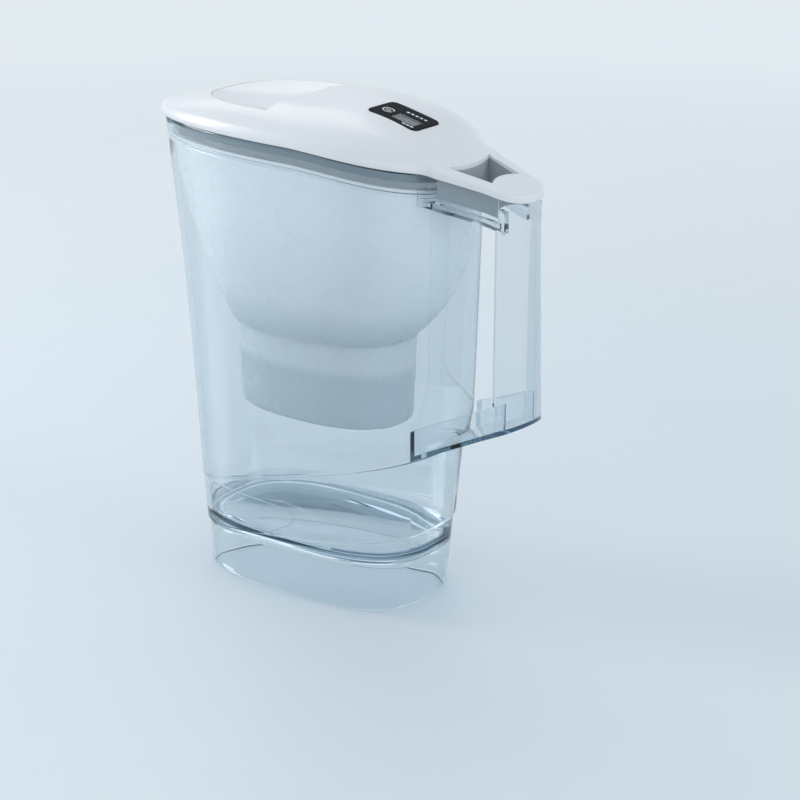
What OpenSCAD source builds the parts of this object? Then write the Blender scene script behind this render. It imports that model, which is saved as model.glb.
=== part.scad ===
// Slim water filter pitcher for a refrigerator door.
// A clear tank with a channel handle carries a funnel with an oval cartridge pocket.
// A one piece lid runs from the spout over the handle and holds a rocking fill flap,
// a spout flap and a filter change indicator.
// +X points from the spout to the handle, +Z is up, the foot stands on z = 0.

/* [Overall] */
// Length of the lid from its nose to its tail
lid_len = 241; // [215:1:292]
// Width of the lid at its widest place
lid_w = 106; // [98:1:128]
// Height from the foot to the crown of the lid
pitcher_h = 277; // [230:1:334]

/* [Tank] */
// Length of the tank at the foot
base_len = 144; // [120:1:166]
// Width of the tank at the foot
base_w = 91; // [76:1:102]
// Distance from the nose of the lid to the middle of the foot
base_from_nose = 103.5; // [96:0.5:113]
// Distance from the nose of the lid to its widest place
widest_from_nose = 126.5; // [114:0.5:146]
// Length of the tank at the rim
rim_len = 194; // [182:1:198]
// How far the lid stands past the tank at the nose
nose_overhang = 2.5; // [2:0.5:6]
// Wall of the tank
wall = 2.2; // [1.8:0.1:3]
// Height of the underside of the tank floor above the foot
stand_h = 30; // [20:1:45]
// Thickness of the tank floor
floor_t = 3; // [2:0.5:5]
// Inset of the stand ring below the tank
stand_step = 1.2; // [0.5:0.1:2]

/* [Handle] */
// Width of the grip channel
grip_w = 35; // [31:1:42]
// Depth of the grip channel at its top
grip_depth = 10.5; // [9:0.5:14]
// How far the foot of the grip leans outward
grip_lean = 4.5; // [2:0.5:8]
// How far the top of the grip stands inside the tail of the lid
grip_setback = 2.5; // [2:0.5:6]
// Wall of the grip channel and its bridges
grip_wall = 2.6; // [2:0.1:3.5]
// Height of the underside of the lower bridge at the tank
bridge_z = 95; // [85:1:115]
// Rise of the lower bridge for each millimetre towards the grip
bridge_slope = 0.44; // [0:0.02:0.5]
// Height of the lower bridge
bridge_h = 17; // [12:1:22]
// Height of the rails between the tank and the grip below the lid
rail_h = 17; // [14:1:20]

/* [Lid] */
// Rise of the crown above the top of the lid edge
crown_h = 13; // [8:0.5:16]
// Height of the upright edge of the lid
side_h = 4.5; // [3:0.5:7]
// Fall of the lid edge from the nose to the tail
rim_drop = 21; // [12:1:26]
// Thickness of the lid shell
lid_t = 2.2; // [1.6:0.1:3]
// Distance from the tail to the tank side of the hand hole
hole_from_tail = 41.5; // [39:0.5:45]
// Length of the hand hole
hole_len = 23; // [18:1:28]
// Width of the hand hole at the tank side
hole_w_tank = 36; // [30:1:40]
// Width of the hand hole at the tail side
hole_w_tail = 25; // [20:1:28]
// Depth of the walls of the hand hole below the lid edge
well_h = 11; // [7:1:12]
// Depth of the skirt inside the tank rim
skirt_h = 5.5; // [4:0.5:7]

/* [Fill flap] */
// Distance from the nose to the straight edge of the flap
flap_from_nose = 96.5; // [90:0.5:104]
// Length of the half moon flap
flap_len = 61; // [50:1:66]
// Width of the flap along its straight edge
flap_w = 77; // [60:1:80]
// Depth of the finger dish at the straight edge
dish_depth = 8; // [5:0.5:10]
// Thickness of the flap plate
flap_t = 2; // [1.6:0.1:2.6]
// Distance from the straight edge to the hinge pins
flap_pin_back = 12; // [9:1:15]
// Diameter of the hinge pins
pin_d = 3; // [2.4:0.1:4]

/* [Spout flap] */
// Length of the spout flap along the lid
spout_len = 13; // [10:1:16]
// Width of the spout flap
spout_w = 36; // [28:1:40]

/* [Funnel] */
// Wall of the funnel
funnel_wall = 1.8; // [1.4:0.1:2.4]
// Distance of the funnel lip below the lid edge
lip_drop = 9.5; // [8:0.5:12]
// Height of the bottom of the bowl
bowl_z = 150; // [140:1:160]
// Height of the underside of the cartridge pocket
pocket_z = 100; // [92:1:106]
// Length of the cartridge pocket outside
pocket_len = 110; // [98:1:114]
// Width of the cartridge pocket outside
pocket_w = 66; // [58:1:70]

/* [Cartridge] */
// Wall of the cartridge cup
cup_wall = 1.6; // [1.2:0.1:2.2]
// Height of the domed cap above the cup
cap_h = 12; // [8:1:16]
// Height of the grip loop above the cap
loop_h = 22; // [16:1:28]
// Number of slots on each side of the cap
cap_slots = 7; // [4:1:9]

/* [Indicator] */
// Length of the indicator face
face_len = 32; // [28:1:38]
// Width of the indicator face
face_w = 24.5; // [21:0.5:30]
// Distance from the tail of the lid to the middle of the face
face_from_tail = 83.5; // [79:0.5:87]
// Travel of the start button
button_travel = 0.8; // [0.4:0.1:1]
// Diameter of the start button
button_d = 8; // [6:0.5:9]

/* [Hidden] */

gap = 0.3;               // resting clearance between pieces that lift apart
slip = 0.6;              // side clearance of pieces that slide past each other
pin_gap = 0.08;          // radial running clearance of the hinge pins
tall = 600;              // longer than anything here, for cutting
ring_n = 48;             // points round a lofted ring

rim_z = pitcher_h - crown_h - side_h;     // height of the lid edge at the nose
foot_reach = grip_lean - grip_setback;    // how far the foot of the grip passes the tail
nose_x = -(lid_len + foot_reach) / 2;     // the pitcher is centred on its overall length
tail_x = nose_x + lid_len;
widest_x = nose_x + widest_from_nose;
base_x = nose_x + base_from_nose;
rim_front_x = nose_x + nose_overhang;
rim_back_x = rim_front_x + rim_len;
base_front_x = base_x - base_len / 2;
base_back_x = base_x + base_len / 2;
side_gap = 1;                             // how far the lid stands past the tank sides
fall_x = widest_x - 10;                   // where the lid edge starts to fall
fall_power = 1.7;

// ---------- curves ----------
function mix(a, b, t) = a + (b - a) * t;
function clamp(t) = min(1, max(0, t));
function ease(t) = let (u = clamp(t)) u * u * (3 - 2 * u);
function sgn_pow(v, e) = sign(v) * pow(abs(v), e);
function smooth_max(a, b, k) = pow(pow(a, k) + pow(b, k), 1 / k);

// Height of the lid's lower edge, and of the tank rim under it, at a place along X
function edge_z(x) = rim_z - rim_drop * pow(clamp((x - fall_x) / (tail_x - fall_x)), fall_power);

// Egg shaped outline round x = mid. The four powers square it off: along and across
// for the half towards the nose, then along and across for the half towards the handle
function egg(mid, front, back, half, powers, n = ring_n) = [
    for (i = [0 : n - 1])
        let (a = 360 * i / n, c = cos(a), s = sin(a), nose = c < -0.0001)
        [mid + (nose ? front * sgn_pow(c, 2 / powers[0]) : back * sgn_pow(c, 2 / powers[2])),
         half * sgn_pow(s, 2 / (nose ? powers[1] : powers[3]))]
];

// Solid through a stack of rings with equal counts of points, lowest first;
// the first and the last ring are flat
module loft(rings) {
    n = len(rings[0]);
    m = len(rings);
    points = [for (ring = rings) each ring];
    sides = [for (j = [0 : m - 2]) for (i = [0 : n - 1])
        let (a = j * n + i, b = j * n + (i + 1) % n)
        each [[a, a + n, b + n], [a, b + n, b]]];
    bottom = [for (i = [0 : n - 1]) i];
    top = [for (i = [n - 1 : -1 : 0]) (m - 1) * n + i];
    polyhedron(points, concat([bottom, top], sides));
}

// Everything between two curves that follow the lid edge, dz above it
module band(low_dz, high_dz, x0 = nose_x - 20, x1 = tail_x + 20) {
    steps = 28;
    xs = concat([x0, fall_x], [for (i = [1 : steps]) mix(fall_x, x1, i / steps)]);
    line = [for (x = xs) [x, edge_z(x)]];
    low = [for (p = line) [p[0], p[1] + low_dz]];
    high = [for (i = [len(line) - 1 : -1 : 0]) [line[i][0], line[i][1] + high_dz]];
    rotate([90, 0, 0])
        translate([0, 0, -tall / 2])
            linear_extrude(tall)
                polygon(concat(low, high));
}

// ---------- plan of the lid ----------
arm_x0 = tail_x - hole_from_tail - 2;     // where the arms leave the body
arm_x1 = tail_x - 17.5;                   // where they meet the tail pad
arm_half = 28;
pad_half = grip_w / 2 + 1.2;
body_end_x = arm_x0 - 1;

function body_half(x) = x < widest_x
    ? lid_w / 2 * pow(1 - pow(clamp((widest_x - x) / (widest_x - nose_x)), 2.1), 1 / 2.6)
    : lid_w / 2 * pow(1 - pow(clamp((x - widest_x) / (body_end_x - widest_x)), 2.6), 1 / 2.2);
function arm_reach(x) =
    let (end = clamp((x - (tail_x - pad_half)) / pad_half))
    mix(arm_half, pad_half, clamp((x - arm_x0) / (arm_x1 - arm_x0)))
        * ease((x - widest_x + 20) / 40) * pow(1 - pow(end, 2.6), 1 / 2.2);
function lid_half(x) = max(0.4, smooth_max(body_half(x), arm_reach(x), 8));

// Stations along the lid, close together at both ends
lid_n = 40;
function lid_station(i) = mix(nose_x, tail_x, (1 - cos(180 * i / lid_n)) / 2);

// A place along the lid, moved as its length shrinks round its middle by inset at each end
lid_mid_x = (nose_x + tail_x) / 2;
function drawn_in(x, inset) = lid_mid_x + (x - lid_mid_x) * (1 - 2 * inset / lid_len);
function lid_outline(inset = 0) = let (
    half = [for (i = [0 : lid_n]) let (x = lid_station(i))
        [drawn_in(x, inset), max(0.2, lid_half(x) - inset)]])
    concat([for (p = half) [p[0], -p[1]]], [for (i = [lid_n : -1 : 0]) half[i]]);

// ---------- crown of the lid ----------
crown_power = 5;                          // how full the crown stays towards the sides
function crown(x) = x < flap_x
    ? crown_h * (1 - pow(clamp((flap_x - x) / (flap_x - nose_x)), 2.2))
    : crown_h * (1 - pow(clamp((x - flap_x - 14) / (arm_x0 - flap_x - 10)), 3.2));
// Top surface of the lid at a share v of its half width; the edge is rounded over
function lid_top(x, v) = edge_z(x) + side_h + crown(x) * (1 - pow(abs(v), crown_power))
    - edge_round * pow(abs(v), 14);
edge_round = 1.3;
function lid_top_xy(x, y) = lid_top(x, clamp(abs(y) / lid_half(x)));

// Solid under the lid's top surface, drawn in by inset and lowered by drop, down to a
// level floor; it covers the stations from the nose up to x_end
slab_floor = rim_z - rim_drop - 20;
module lid_slab(inset, drop, n = lid_n, cols = 8, x_end = tail_x, floor_z = slab_floor) {
    w = 2 * cols + 1;
    reach = x_end == tail_x ? 180 : 90;
    top = [for (i = [0 : n]) for (j = [-cols : cols])
        let (x = mix(nose_x, x_end, (1 - cos(reach * i / n)) / (reach == 180 ? 2 : 1)),
             v = sin(90 * j / cols),
             half = max(1.4, lid_half(x) - inset))
        [drawn_in(x, inset), v * half, lid_top(x, v) - drop]];
    m = len(top);
    low = [for (i = [0 : n]) each [[top[i * w][0], top[i * w][1], floor_z],
                                   [top[i * w][0], -top[i * w][1], floor_z]]];
    up = [for (i = [0 : n - 1]) for (j = [0 : w - 2])
        let (a = i * w + j, b = a + w) each [[a, a + 1, b + 1], [a, b + 1, b]]];
    down = [for (i = [0 : n - 1])
        let (a = m + 2 * i, b = a + 2) each [[a, b, b + 1], [a, b + 1, a + 1]]];
    walls = [for (i = [0 : n - 1])
        let (a = i * w, b = a + w, c = a + w - 1, d = b + w - 1, l = m + 2 * i, r = l + 1)
        each [[a, b, l + 2], [a, l + 2, l], [d, c, r], [d, r, r + 2]]];
    nose_end = concat([for (j = [0 : w - 2]) [j + 1, j, m]], [[m + 1, w - 1, m]]);
    last = n * w;
    low_last = m + 2 * n;
    tail_end = concat([for (j = [0 : w - 2]) [last + j, last + j + 1, low_last]],
                      [[last + w - 1, low_last + 1, low_last]]);
    polyhedron(concat(top, low), concat(up, down, walls, nose_end, tail_end));
}

// ---------- tank ----------
waist_z = bridge_z - 25;                  // crease of the waist over the middle of the foot
waist_tilt = 0.27;                        // rise of the crease towards the handle
waist_step = 3.5;                         // how far the tank steps in below the crease
tank_half = lid_w / 2 - side_gap;
back_taper = 4;                           // how far the upper back wall leans in

function tank_rise(z) = clamp(z / rim_z);
function tank_back(z) =
    let (upper = rim_back_x - back_taper)
    z > waist_z + 20
        ? mix(upper, rim_back_x, clamp((z - waist_z - 20) / (rim_z - waist_z - 20)))
        : mix(base_back_x + waist_step, upper, clamp(z / (waist_z + 20)));
// Outline of the tank at height z, drawn in by inset; low is true below the crease
function tank_outline(z, inset, low) = let (
    rise = pow(tank_rise(z), 1.2),
    mid = mix(base_x, widest_x, rise),
    front = mid - mix(base_front_x, rim_front_x, pow(tank_rise(z), 1.5)) - inset,
    back = tank_back(z) - mid - inset - (low ? waist_step : 0),
    half = mix(base_w / 2, tank_half, rise) - inset - (low ? 0.8 : 0))
    egg(mid, front, back, half,
        [mix(3, 2.1, rise), mix(3, 2.6, rise), mix(3, 2.8, rise), mix(2.8, 2.4, rise)]);
// Ring of the tank loft; its height follows the tilt of the crease
function tank_ring(z, inset = 0, low = false) = let (
    tilt = waist_tilt * ease(z / waist_z) * (1 - ease((z - waist_z) / 110)))
    [for (p = tank_outline(z, inset, low)) [p[0], p[1], z + tilt * (p[0] - base_x)]];

upper_heights = [for (t = [0, 0.1, 0.2, 0.31, 0.44, 0.575, 0.71, 0.84, 1]) mix(waist_z + 1.2, rim_z + 1, t)];
module tank_outside() {
    foot = [[0, 1.6], [0.7, 0.5], [2, 0]];
    loft(concat(
        [for (f = foot) tank_ring(f[0], stand_step + f[1], true)],
        [tank_ring(stand_h + 4, stand_step, true), tank_ring(stand_h + 5.5, 0, true),
         tank_ring((stand_h + waist_z) / 2 + 3, 0, true), tank_ring(waist_z, 0, true)],
        [for (z = upper_heights) tank_ring(z)]));
}
module tank_inside() {
    floor_top = stand_h + floor_t;
    fillet = [[0, 4], [1.2, 1.4], [4, 0]];
    loft(concat(
        [for (f = fillet) tank_flat(floor_top + f[0], wall + f[1])],
        [tank_ring((stand_h + waist_z) / 2 + 3, wall, true), tank_ring(waist_z, wall, true)],
        [for (z = upper_heights) tank_ring(z, wall)],
        [tank_flat(rim_z + 40, wall)]));
}
// Level ring, for floors
function tank_flat(z, inset) = [for (p = tank_outline(z, inset, z < waist_z)) [p[0], p[1], z]];
module stand_hollow() {
    hollow = [[-1, 0], [stand_h - 5, 0], [stand_h - 1.5, 1.5], [stand_h, 5]];
    loft([for (h = hollow) tank_flat(h[0], stand_step + wall + 1 + h[1])]);
}
// Pouring lip that widens to the rim at the nose
spout_r = 13;
spout_h = 24;
spout_x = nose_x + 1.2 + spout_r;
module spout_cone(r, drop) {
    translate([spout_x, 0, rim_z - drop])
        cylinder(h = drop + 1, r1 = r / 4, r2 = r, $fn = 48);
}

// ---------- grip ----------
grip_back_x = tail_x - grip_setback;      // back of the grip at its top
grip_edge_x = grip_back_x - grip_depth;   // free edges of the channel
bridge_x = base_back_x + 12;              // where the lower bridge leaves the tank
function bridge_low(x) = bridge_z + bridge_slope * (x - bridge_x);
grip_foot_z = bridge_low(grip_back_x + grip_lean);
function grip_ring(z, inset) = let (
    drop = clamp((edge_z(tail_x) - z) / (edge_z(tail_x) - grip_foot_z)),
    depth = grip_depth + grip_lean * drop - inset,
    half = grip_w / 2 - inset)
    concat([[grip_edge_x - (inset > 0 ? 1 : 0), -half, z]],
           [for (i = [0 : 24]) let (a = -90 + 7.5 * i)
               [grip_edge_x + depth * pow(max(0, cos(a)), 2 / 2.2),
                half * sgn_pow(sin(a), 2 / 2.2), z]],
           [[grip_edge_x - (inset > 0 ? 1 : 0), half, z]]);
grip_heights = [for (t = [0, 0.2, 0.4, 0.65, 1]) mix(bridge_z - 35, rim_z + 5, t)];
module grip_solid(inset) {
    loft([for (z = grip_heights) grip_ring(z, inset)]);
}
// Everything between the underside of the lower bridge, raised by low, and a height over it
module bridge_slab(low, high, x0, x1) {
    rotate([90, 0, 0])
        translate([0, 0, -tall / 2])
            linear_extrude(tall)
                polygon([[x0, bridge_low(x0) + low], [x1, bridge_low(x1) + low],
                         [x1, bridge_low(x1) + high], [x0, bridge_low(x0) + high]]);
}
// Column over the plan of the lid's arms between two places along X
module arm_column(inset, x0, x1) {
    intersection() {
        linear_extrude(rim_z)
            polygon(lid_outline(inset));
        translate([x0, -lid_w, 0])
            cube([x1 - x0, 2 * lid_w, tall]);
    }
}
rail_inset = 0.8;                         // how far the rails stand inside the lid edge
rail_x0 = rim_back_x - 8;
ledge_w = 4;                              // inward foot of each rail
module rails() {
    intersection() {
        difference() {
            arm_column(rail_inset, rail_x0, grip_edge_x);
            intersection() {
                arm_column(rail_inset + grip_wall, rail_x0 - 1, grip_edge_x + 1);
                band(-rail_h + grip_wall, 0);
            }
            arm_column(rail_inset + grip_wall + ledge_w, rail_x0 - 1, grip_edge_x + 1);
        }
        band(-rail_h, 0);
    }
}
module lower_bridge() {
    difference() {
        intersection() {
            arm_column(rail_inset, bridge_x - 1.5, grip_edge_x);
            bridge_slab(0, bridge_h, bridge_x - 30, tail_x);
        }
        intersection() {
            arm_column(rail_inset + grip_wall, bridge_x - 2.5, grip_edge_x + 1);
            bridge_slab(grip_wall, bridge_h + 1, bridge_x - 30, tail_x);
        }
    }
}
module grip_channel() {
    difference() {
        grip_solid(0);
        difference() {
            grip_solid(grip_wall);
            bridge_slab(-60, grip_wall, grip_edge_x - 5, tail_x + 5);
        }
        bridge_slab(-tall, 0, grip_edge_x - 5, tail_x + 5);
    }
}
// Inner ring that carries the funnel lip
lip_t = 1.6;
module funnel_ledge() {
    intersection() {
        difference() {
            linear_extrude(rim_z)
                polygon(tank_outline(rim_z, wall - 0.6, false));
            linear_extrude(rim_z)
                polygon(tank_outline(rim_z, wall + 1.5, false));
        }
        band(-lip_drop - lip_t - gap - 2, -lip_drop - lip_t - gap);
    }
}

module jug() {
    color([0.80, 0.88, 0.92, 0.4])
    difference() {
        union() {
            difference() {
                union() {
                    tank_outside();
                    spout_cone(spout_r, spout_h);
                    rails();
                    lower_bridge();
                }
                tank_inside();
                spout_cone(spout_r - wall, spout_h - 2);
            }
            funnel_ledge();
        }
        stand_hollow();
        band(-gap, tall);
    }
}
// Grip of the same moulding; its free edges meet the ends of the rails and the bridge
module jug_grip() {
    color([0.80, 0.88, 0.92, 0.4])
    difference() {
        grip_channel();
        band(-gap, tall);
    }
}

// ---------- funnel ----------
bowl_x = base_x + 1;                      // middle of the bowl's bottom and of the pocket
bowl_len = pocket_len + 2;
bowl_w = pocket_w + 8;
pour_r = 17;                              // recess that lets water reach the spout
pour_x = nose_x + 4;
lip_reach = 1.2;                          // how far the lip stands past the bowl

// Share of the bowl's swell at a share t of its depth: t is 0 at the lip, 1 at the bottom
function bowl_curve(t, power) = 1 - pow(t, power);
function bowl_ring(t, inset) = let (
    mid = mix(widest_x, bowl_x, pow(t, 1.6)),
    front = mix(bowl_x - bowl_len / 2, rim_front_x + wall + lip_reach + slip + 2, bowl_curve(t, 1.6)),
    back = mix(bowl_x + bowl_len / 2, rim_back_x - wall - lip_reach - slip, bowl_curve(t, 3.4)),
    half = mix(bowl_w / 2, tank_half - wall - lip_reach - slip, bowl_curve(t, 2.6)),
    side = egg(mid, mid - front - inset, back - mid - inset, half - inset,
               [mix(2.1, 2.4, t), mix(2.6, 2.4, t), mix(2.8, 2.4, t), mix(2.4, 2.4, t)]))
    [for (p = side) [p[0], p[1], mix(edge_z(p[0]) - lip_drop, bowl_z, t)]];
function oval(length, width, z, inset = 0) = [
    for (p = egg(bowl_x, length / 2 - inset, length / 2 - inset, width / 2 - inset, [2.4, 2.4, 2.4, 2.4]))
        [p[0], p[1], z]];

pocket_taper = 4;                         // how much narrower the pocket is at its foot
bowl_steps = [1, 0.9, 0.78, 0.64, 0.48, 0.3, 0];
module funnel_outside() {
    loft(concat(
        [oval(pocket_len - pocket_taper, pocket_w - pocket_taper, pocket_z, 2.5),
         oval(pocket_len - pocket_taper, pocket_w - pocket_taper, pocket_z + 1, 0.8),
         oval(pocket_len - pocket_taper, pocket_w - pocket_taper, pocket_z + 3),
         oval(pocket_len, pocket_w, bowl_z - 0.5)],
        [for (t = bowl_steps) bowl_ring(t, 0)],
        [[for (p = bowl_ring(0, 0)) [p[0], p[1], rim_z + 5]]]));
}
module funnel_inside() {
    w = funnel_wall;
    loft(concat(
        [oval(pocket_len - pocket_taper, pocket_w - pocket_taper, pocket_z + w, w + 1.5),
         oval(pocket_len - pocket_taper, pocket_w - pocket_taper, pocket_z + w + 2, w),
         oval(pocket_len, pocket_w, bowl_z + w, w)],
        [for (t = bowl_steps) [for (p = bowl_ring(t, w)) [p[0], p[1], max(p[2], bowl_z + w + 0.6)]]],
        [[for (p = bowl_ring(0, w)) [p[0], p[1], rim_z + 6]]]));
}
// Lip that hangs the funnel on the ledge of the tank
module funnel_lip() {
    intersection() {
        difference() {
            linear_extrude(rim_z)
                polygon(tank_outline(rim_z - lip_drop - lip_t, wall + slip, false));
            linear_extrude(rim_z)
                polygon([for (p = bowl_ring(0, funnel_wall / 2)) [p[0], p[1]]]);
        }
        band(-lip_drop - lip_t, -lip_drop);
    }
}
outlet_len = 62;                          // opening under the cartridge
outlet_w = 24;
module outlet(length, width, z, h) {
    translate([bowl_x, 0, z])
        for (side = [-1, 1])
            translate([side * (length - width) / 2, 0, 0])
                cylinder(h = h, d = width, $fn = 48);
    translate([bowl_x - (length - width) / 2, -width / 2, z])
        cube([length - width, width, h]);
}
module funnel() {
    color([0.78, 0.86, 0.92, 0.8])
    difference() {
        union() {
            difference() {
                funnel_outside();
                difference() {
                    funnel_inside();
                    translate([pour_x, 0, bowl_z])
                        cylinder(h = tall, r = pour_r + funnel_wall, $fn = 64);
                }
                band(-lip_drop, tall);
            }
            funnel_lip();
        }
        translate([pour_x, 0, bowl_z])
            cylinder(h = tall, r = pour_r, $fn = 64);
        outlet(outlet_len, outlet_w, pocket_z - 1, 5);
    }
}

// ---------- cartridge ----------
cup_gap = 0.5;                            // side clearance of the cup in the pocket
cup_z = pocket_z + funnel_wall + gap;     // underside of the cup
cup_top = bowl_z + 22;                    // rim of the cup
cup_slot_step = 7;                        // slots in the floor of the cup
cup_slot_w = 3;
cup_slot_len = 16;
function cup_ring(z, inset) = let (
    up = (z - pocket_z) / (bowl_z - pocket_z),
    length = mix(pocket_len - pocket_taper, pocket_len, min(1, up)) - 2 * (funnel_wall + cup_gap),
    width = mix(pocket_w - pocket_taper, pocket_w, min(1, up)) - 2 * (funnel_wall + cup_gap))
    oval(length, width, z, inset);
module cartridge_shell() {
    color("white")
    difference() {
        loft([cup_ring(cup_z, 2.5), cup_ring(cup_z + 2, 0.4), cup_ring(bowl_z, 0), cup_ring(cup_top, 0)]);
        loft([cup_ring(cup_z + cup_wall, cup_wall + 1.5), cup_ring(cup_z + 4, cup_wall),
              cup_ring(bowl_z, cup_wall), cup_ring(cup_top + 1, cup_wall)]);
        for (i = [-3 : 3])
            translate([bowl_x + i * cup_slot_step - cup_slot_w / 2, -cup_slot_len / 2, cup_z - 1])
                cube([cup_slot_w, cup_slot_len, 4]);
    }
}
cap_z = cup_top + gap;
cap_t = 1.6;
loop_t = 5;
loop_w = 4;
cap_slot_step = 9;
cap_slot_w = 1.8;
cap_slot_len = 12;
cap_slot_y = 15;
function cap_ring(k, inset) = [for (p = cup_ring(cup_top, inset)) [
    bowl_x + (p[0] - bowl_x) * sqrt(1 - k * k * 0.72), p[1] * sqrt(1 - k * k * 0.72), cap_z + k * cap_h]];
cap_steps = [0.4, 0.7, 0.9, 1];
plug_t = 1.2;
plug_h = 5;
function flat(ring) = [for (p = ring) [p[0], p[1]]];
// Straight tube with the outline of the cup's rim
module oval_tube(inset, t, z, h) {
    translate([0, 0, z])
        linear_extrude(h)
            difference() {
                polygon(flat(cup_ring(cup_top, inset)));
                polygon(flat(cup_ring(cup_top, inset + t)));
            }
}
// Straight plug with the outline of the cup at height z
module oval_plug(inset, z, h) {
    translate([0, 0, z])
        linear_extrude(h)
            polygon(flat(cup_ring(z, inset)));
}
module cartridge_cap() {
    color([0.93, 0.95, 0.97])
    union() {
        difference() {
            loft(concat([cup_ring(cap_z, 0), cup_ring(cap_z + 1.5, 0)],
                [for (k = cap_steps) [for (p = cap_ring(k, 0.6)) [p[0], p[1], p[2] + 1.5]]]));
            loft(concat([cup_ring(cap_z - 1, cap_t), cup_ring(cap_z + 0.5, cap_t)],
                [for (k = cap_steps) [for (p = cap_ring(k, 0.6 + cap_t)) [p[0], p[1], p[2] + 1.5 - cap_t]]]));
            for (side = [-1, 1]) for (i = [0 : cap_slots - 1])
                translate([bowl_x + (i - (cap_slots - 1) / 2) * cap_slot_step - cap_slot_w / 2,
                           side * cap_slot_y - cap_slot_len / 2, cap_z])
                    cube([cap_slot_w, cap_slot_len, cap_h + 3]);
        }
        // rim on the cup, and the plug skirt inside it
        oval_tube(0.2, plug_t + cup_wall, cap_z, 1.4);
        oval_tube(cup_wall + 0.3, plug_t, cap_z - plug_h, plug_h + 0.2);
        // grip loop along the middle
        translate([bowl_x, loop_t / 2, cap_z + cap_h + 1])
            rotate([90, 0, 0])
                difference() {
                    linear_extrude(loop_t)
                        intersection() {
                            circle(r = loop_h, $fn = 64);
                            translate([-loop_h, -1.6])
                                square([2 * loop_h, loop_h + 2]);
                        }
                    translate([0, 0, -1])
                        cylinder(h = loop_t + 2, r = loop_h - loop_w, $fn = 64);
                }
    }
}
mesh_t = 0.8;
module cartridge_top_mesh() {
    color("gainsboro")
        oval_plug(cup_wall + 0.5, cap_z - plug_h - gap - mesh_t, mesh_t);
}
module cartridge_base_mesh() {
    color("gainsboro")
        oval_plug(cup_wall + 2.6, cup_z + cup_wall + gap, mesh_t);
}
module filter_media() {
    low = cup_z + cup_wall + 2 * gap + mesh_t;
    color([0.35, 0.33, 0.31])
        oval_plug(cup_wall + 1.8, low, cup_top - 14 - low);
}

// ---------- lid ----------
hole_x0 = tail_x - hole_from_tail;
hole_x1 = hole_x0 + hole_len;
hole_bulge = [2.5, 3.5];                  // how far the body and the tail pad swell into the hole
// Hand hole: a trapezoid whose ends bow into it, grown outward by grow
function hole_outline(grow = 0) = let (
    a = hole_w_tank / 2 + grow, b = hole_w_tail / 2 + grow,
    x0 = hole_x0 - grow, x1 = hole_x1 + grow)
    concat([for (i = [0 : 12]) let (v = i / 6 - 1) [x0 + hole_bulge[0] * (1 - v * v), a * v]],
           [for (i = [0 : 12]) let (v = 1 - i / 6) [x1 - hole_bulge[1] * (1 - v * v), b * v]]);

flap_x = nose_x + flap_from_nose;         // straight edge of the half moon
// Half moon, at a share r of its size and an angle a from -90 to 90
function moon(r, a) = [flap_x - flap_len * r * pow(max(0, cos(a)), 2 / 2.3),
                       flap_w / 2 * r * sgn_pow(sin(a), 2 / 2.3)];
function moon_outline(grow = 0) = let (k = 1 + 2 * grow / flap_w)
    concat([for (i = [0 : 36]) let (p = moon(1, -90 + 5 * i))
        [flap_x + (p[0] - flap_x) * (1 + grow / flap_len) + (abs(-90 + 5 * i) == 90 ? max(0, grow) : 0), p[1] * k]]);
flap_side_gap = 0.4;
flap_edge_gap = 1.5;
pin_x = flap_x - flap_pin_back;
pin_z = lid_top(pin_x, 0.78) - lid_t - pin_d / 2 - 1;
pin_lug_y = flap_w / 2 - 5;
lug_top = dish_top(0.86, -65) - flap_t + 0.4;
ear_gap = 1;                              // from the side of the flap to the ears
ear_y = flap_w / 2 + ear_gap;
ear_w = 3;
ear_top = lid_top(pin_x - 3.5, (ear_y + ear_w) / lid_half(pin_x - 3.5)) - lid_t / 2;

seam_x = nose_x + spout_len;
spout_pin_x = seam_x - 3.6;
spout_pin_r = 1;
spout_pin_z = lid_top(spout_pin_x, 0) - 2.4;
spout_seam = 0.8;                         // gap between the spout flap and the lid
spout_sweep = norm([seam_x - spout_seam - spout_pin_x,
                    lid_top(seam_x, 0) - spout_pin_z]) + 0.3;
spout_ear_y = spout_w / 2 + 0.4;
spout_ear_top = lid_top(spout_pin_x - 2, (spout_ear_y + 2) / lid_half(spout_pin_x - 2)) - lid_t / 2;

tilt_x0 = tail_x - face_from_tail - face_len / 2;
tilt_x1 = tilt_x0 + face_len;
face_x = (tilt_x0 + tilt_x1) / 2;
face_tilt = atan((lid_top(tilt_x0, 0) - lid_top(tilt_x1, 0)) / face_len);
face_z = (lid_top(tilt_x0, 0) + lid_top(tilt_x1, 0)) / 2 + 0.6;
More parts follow.
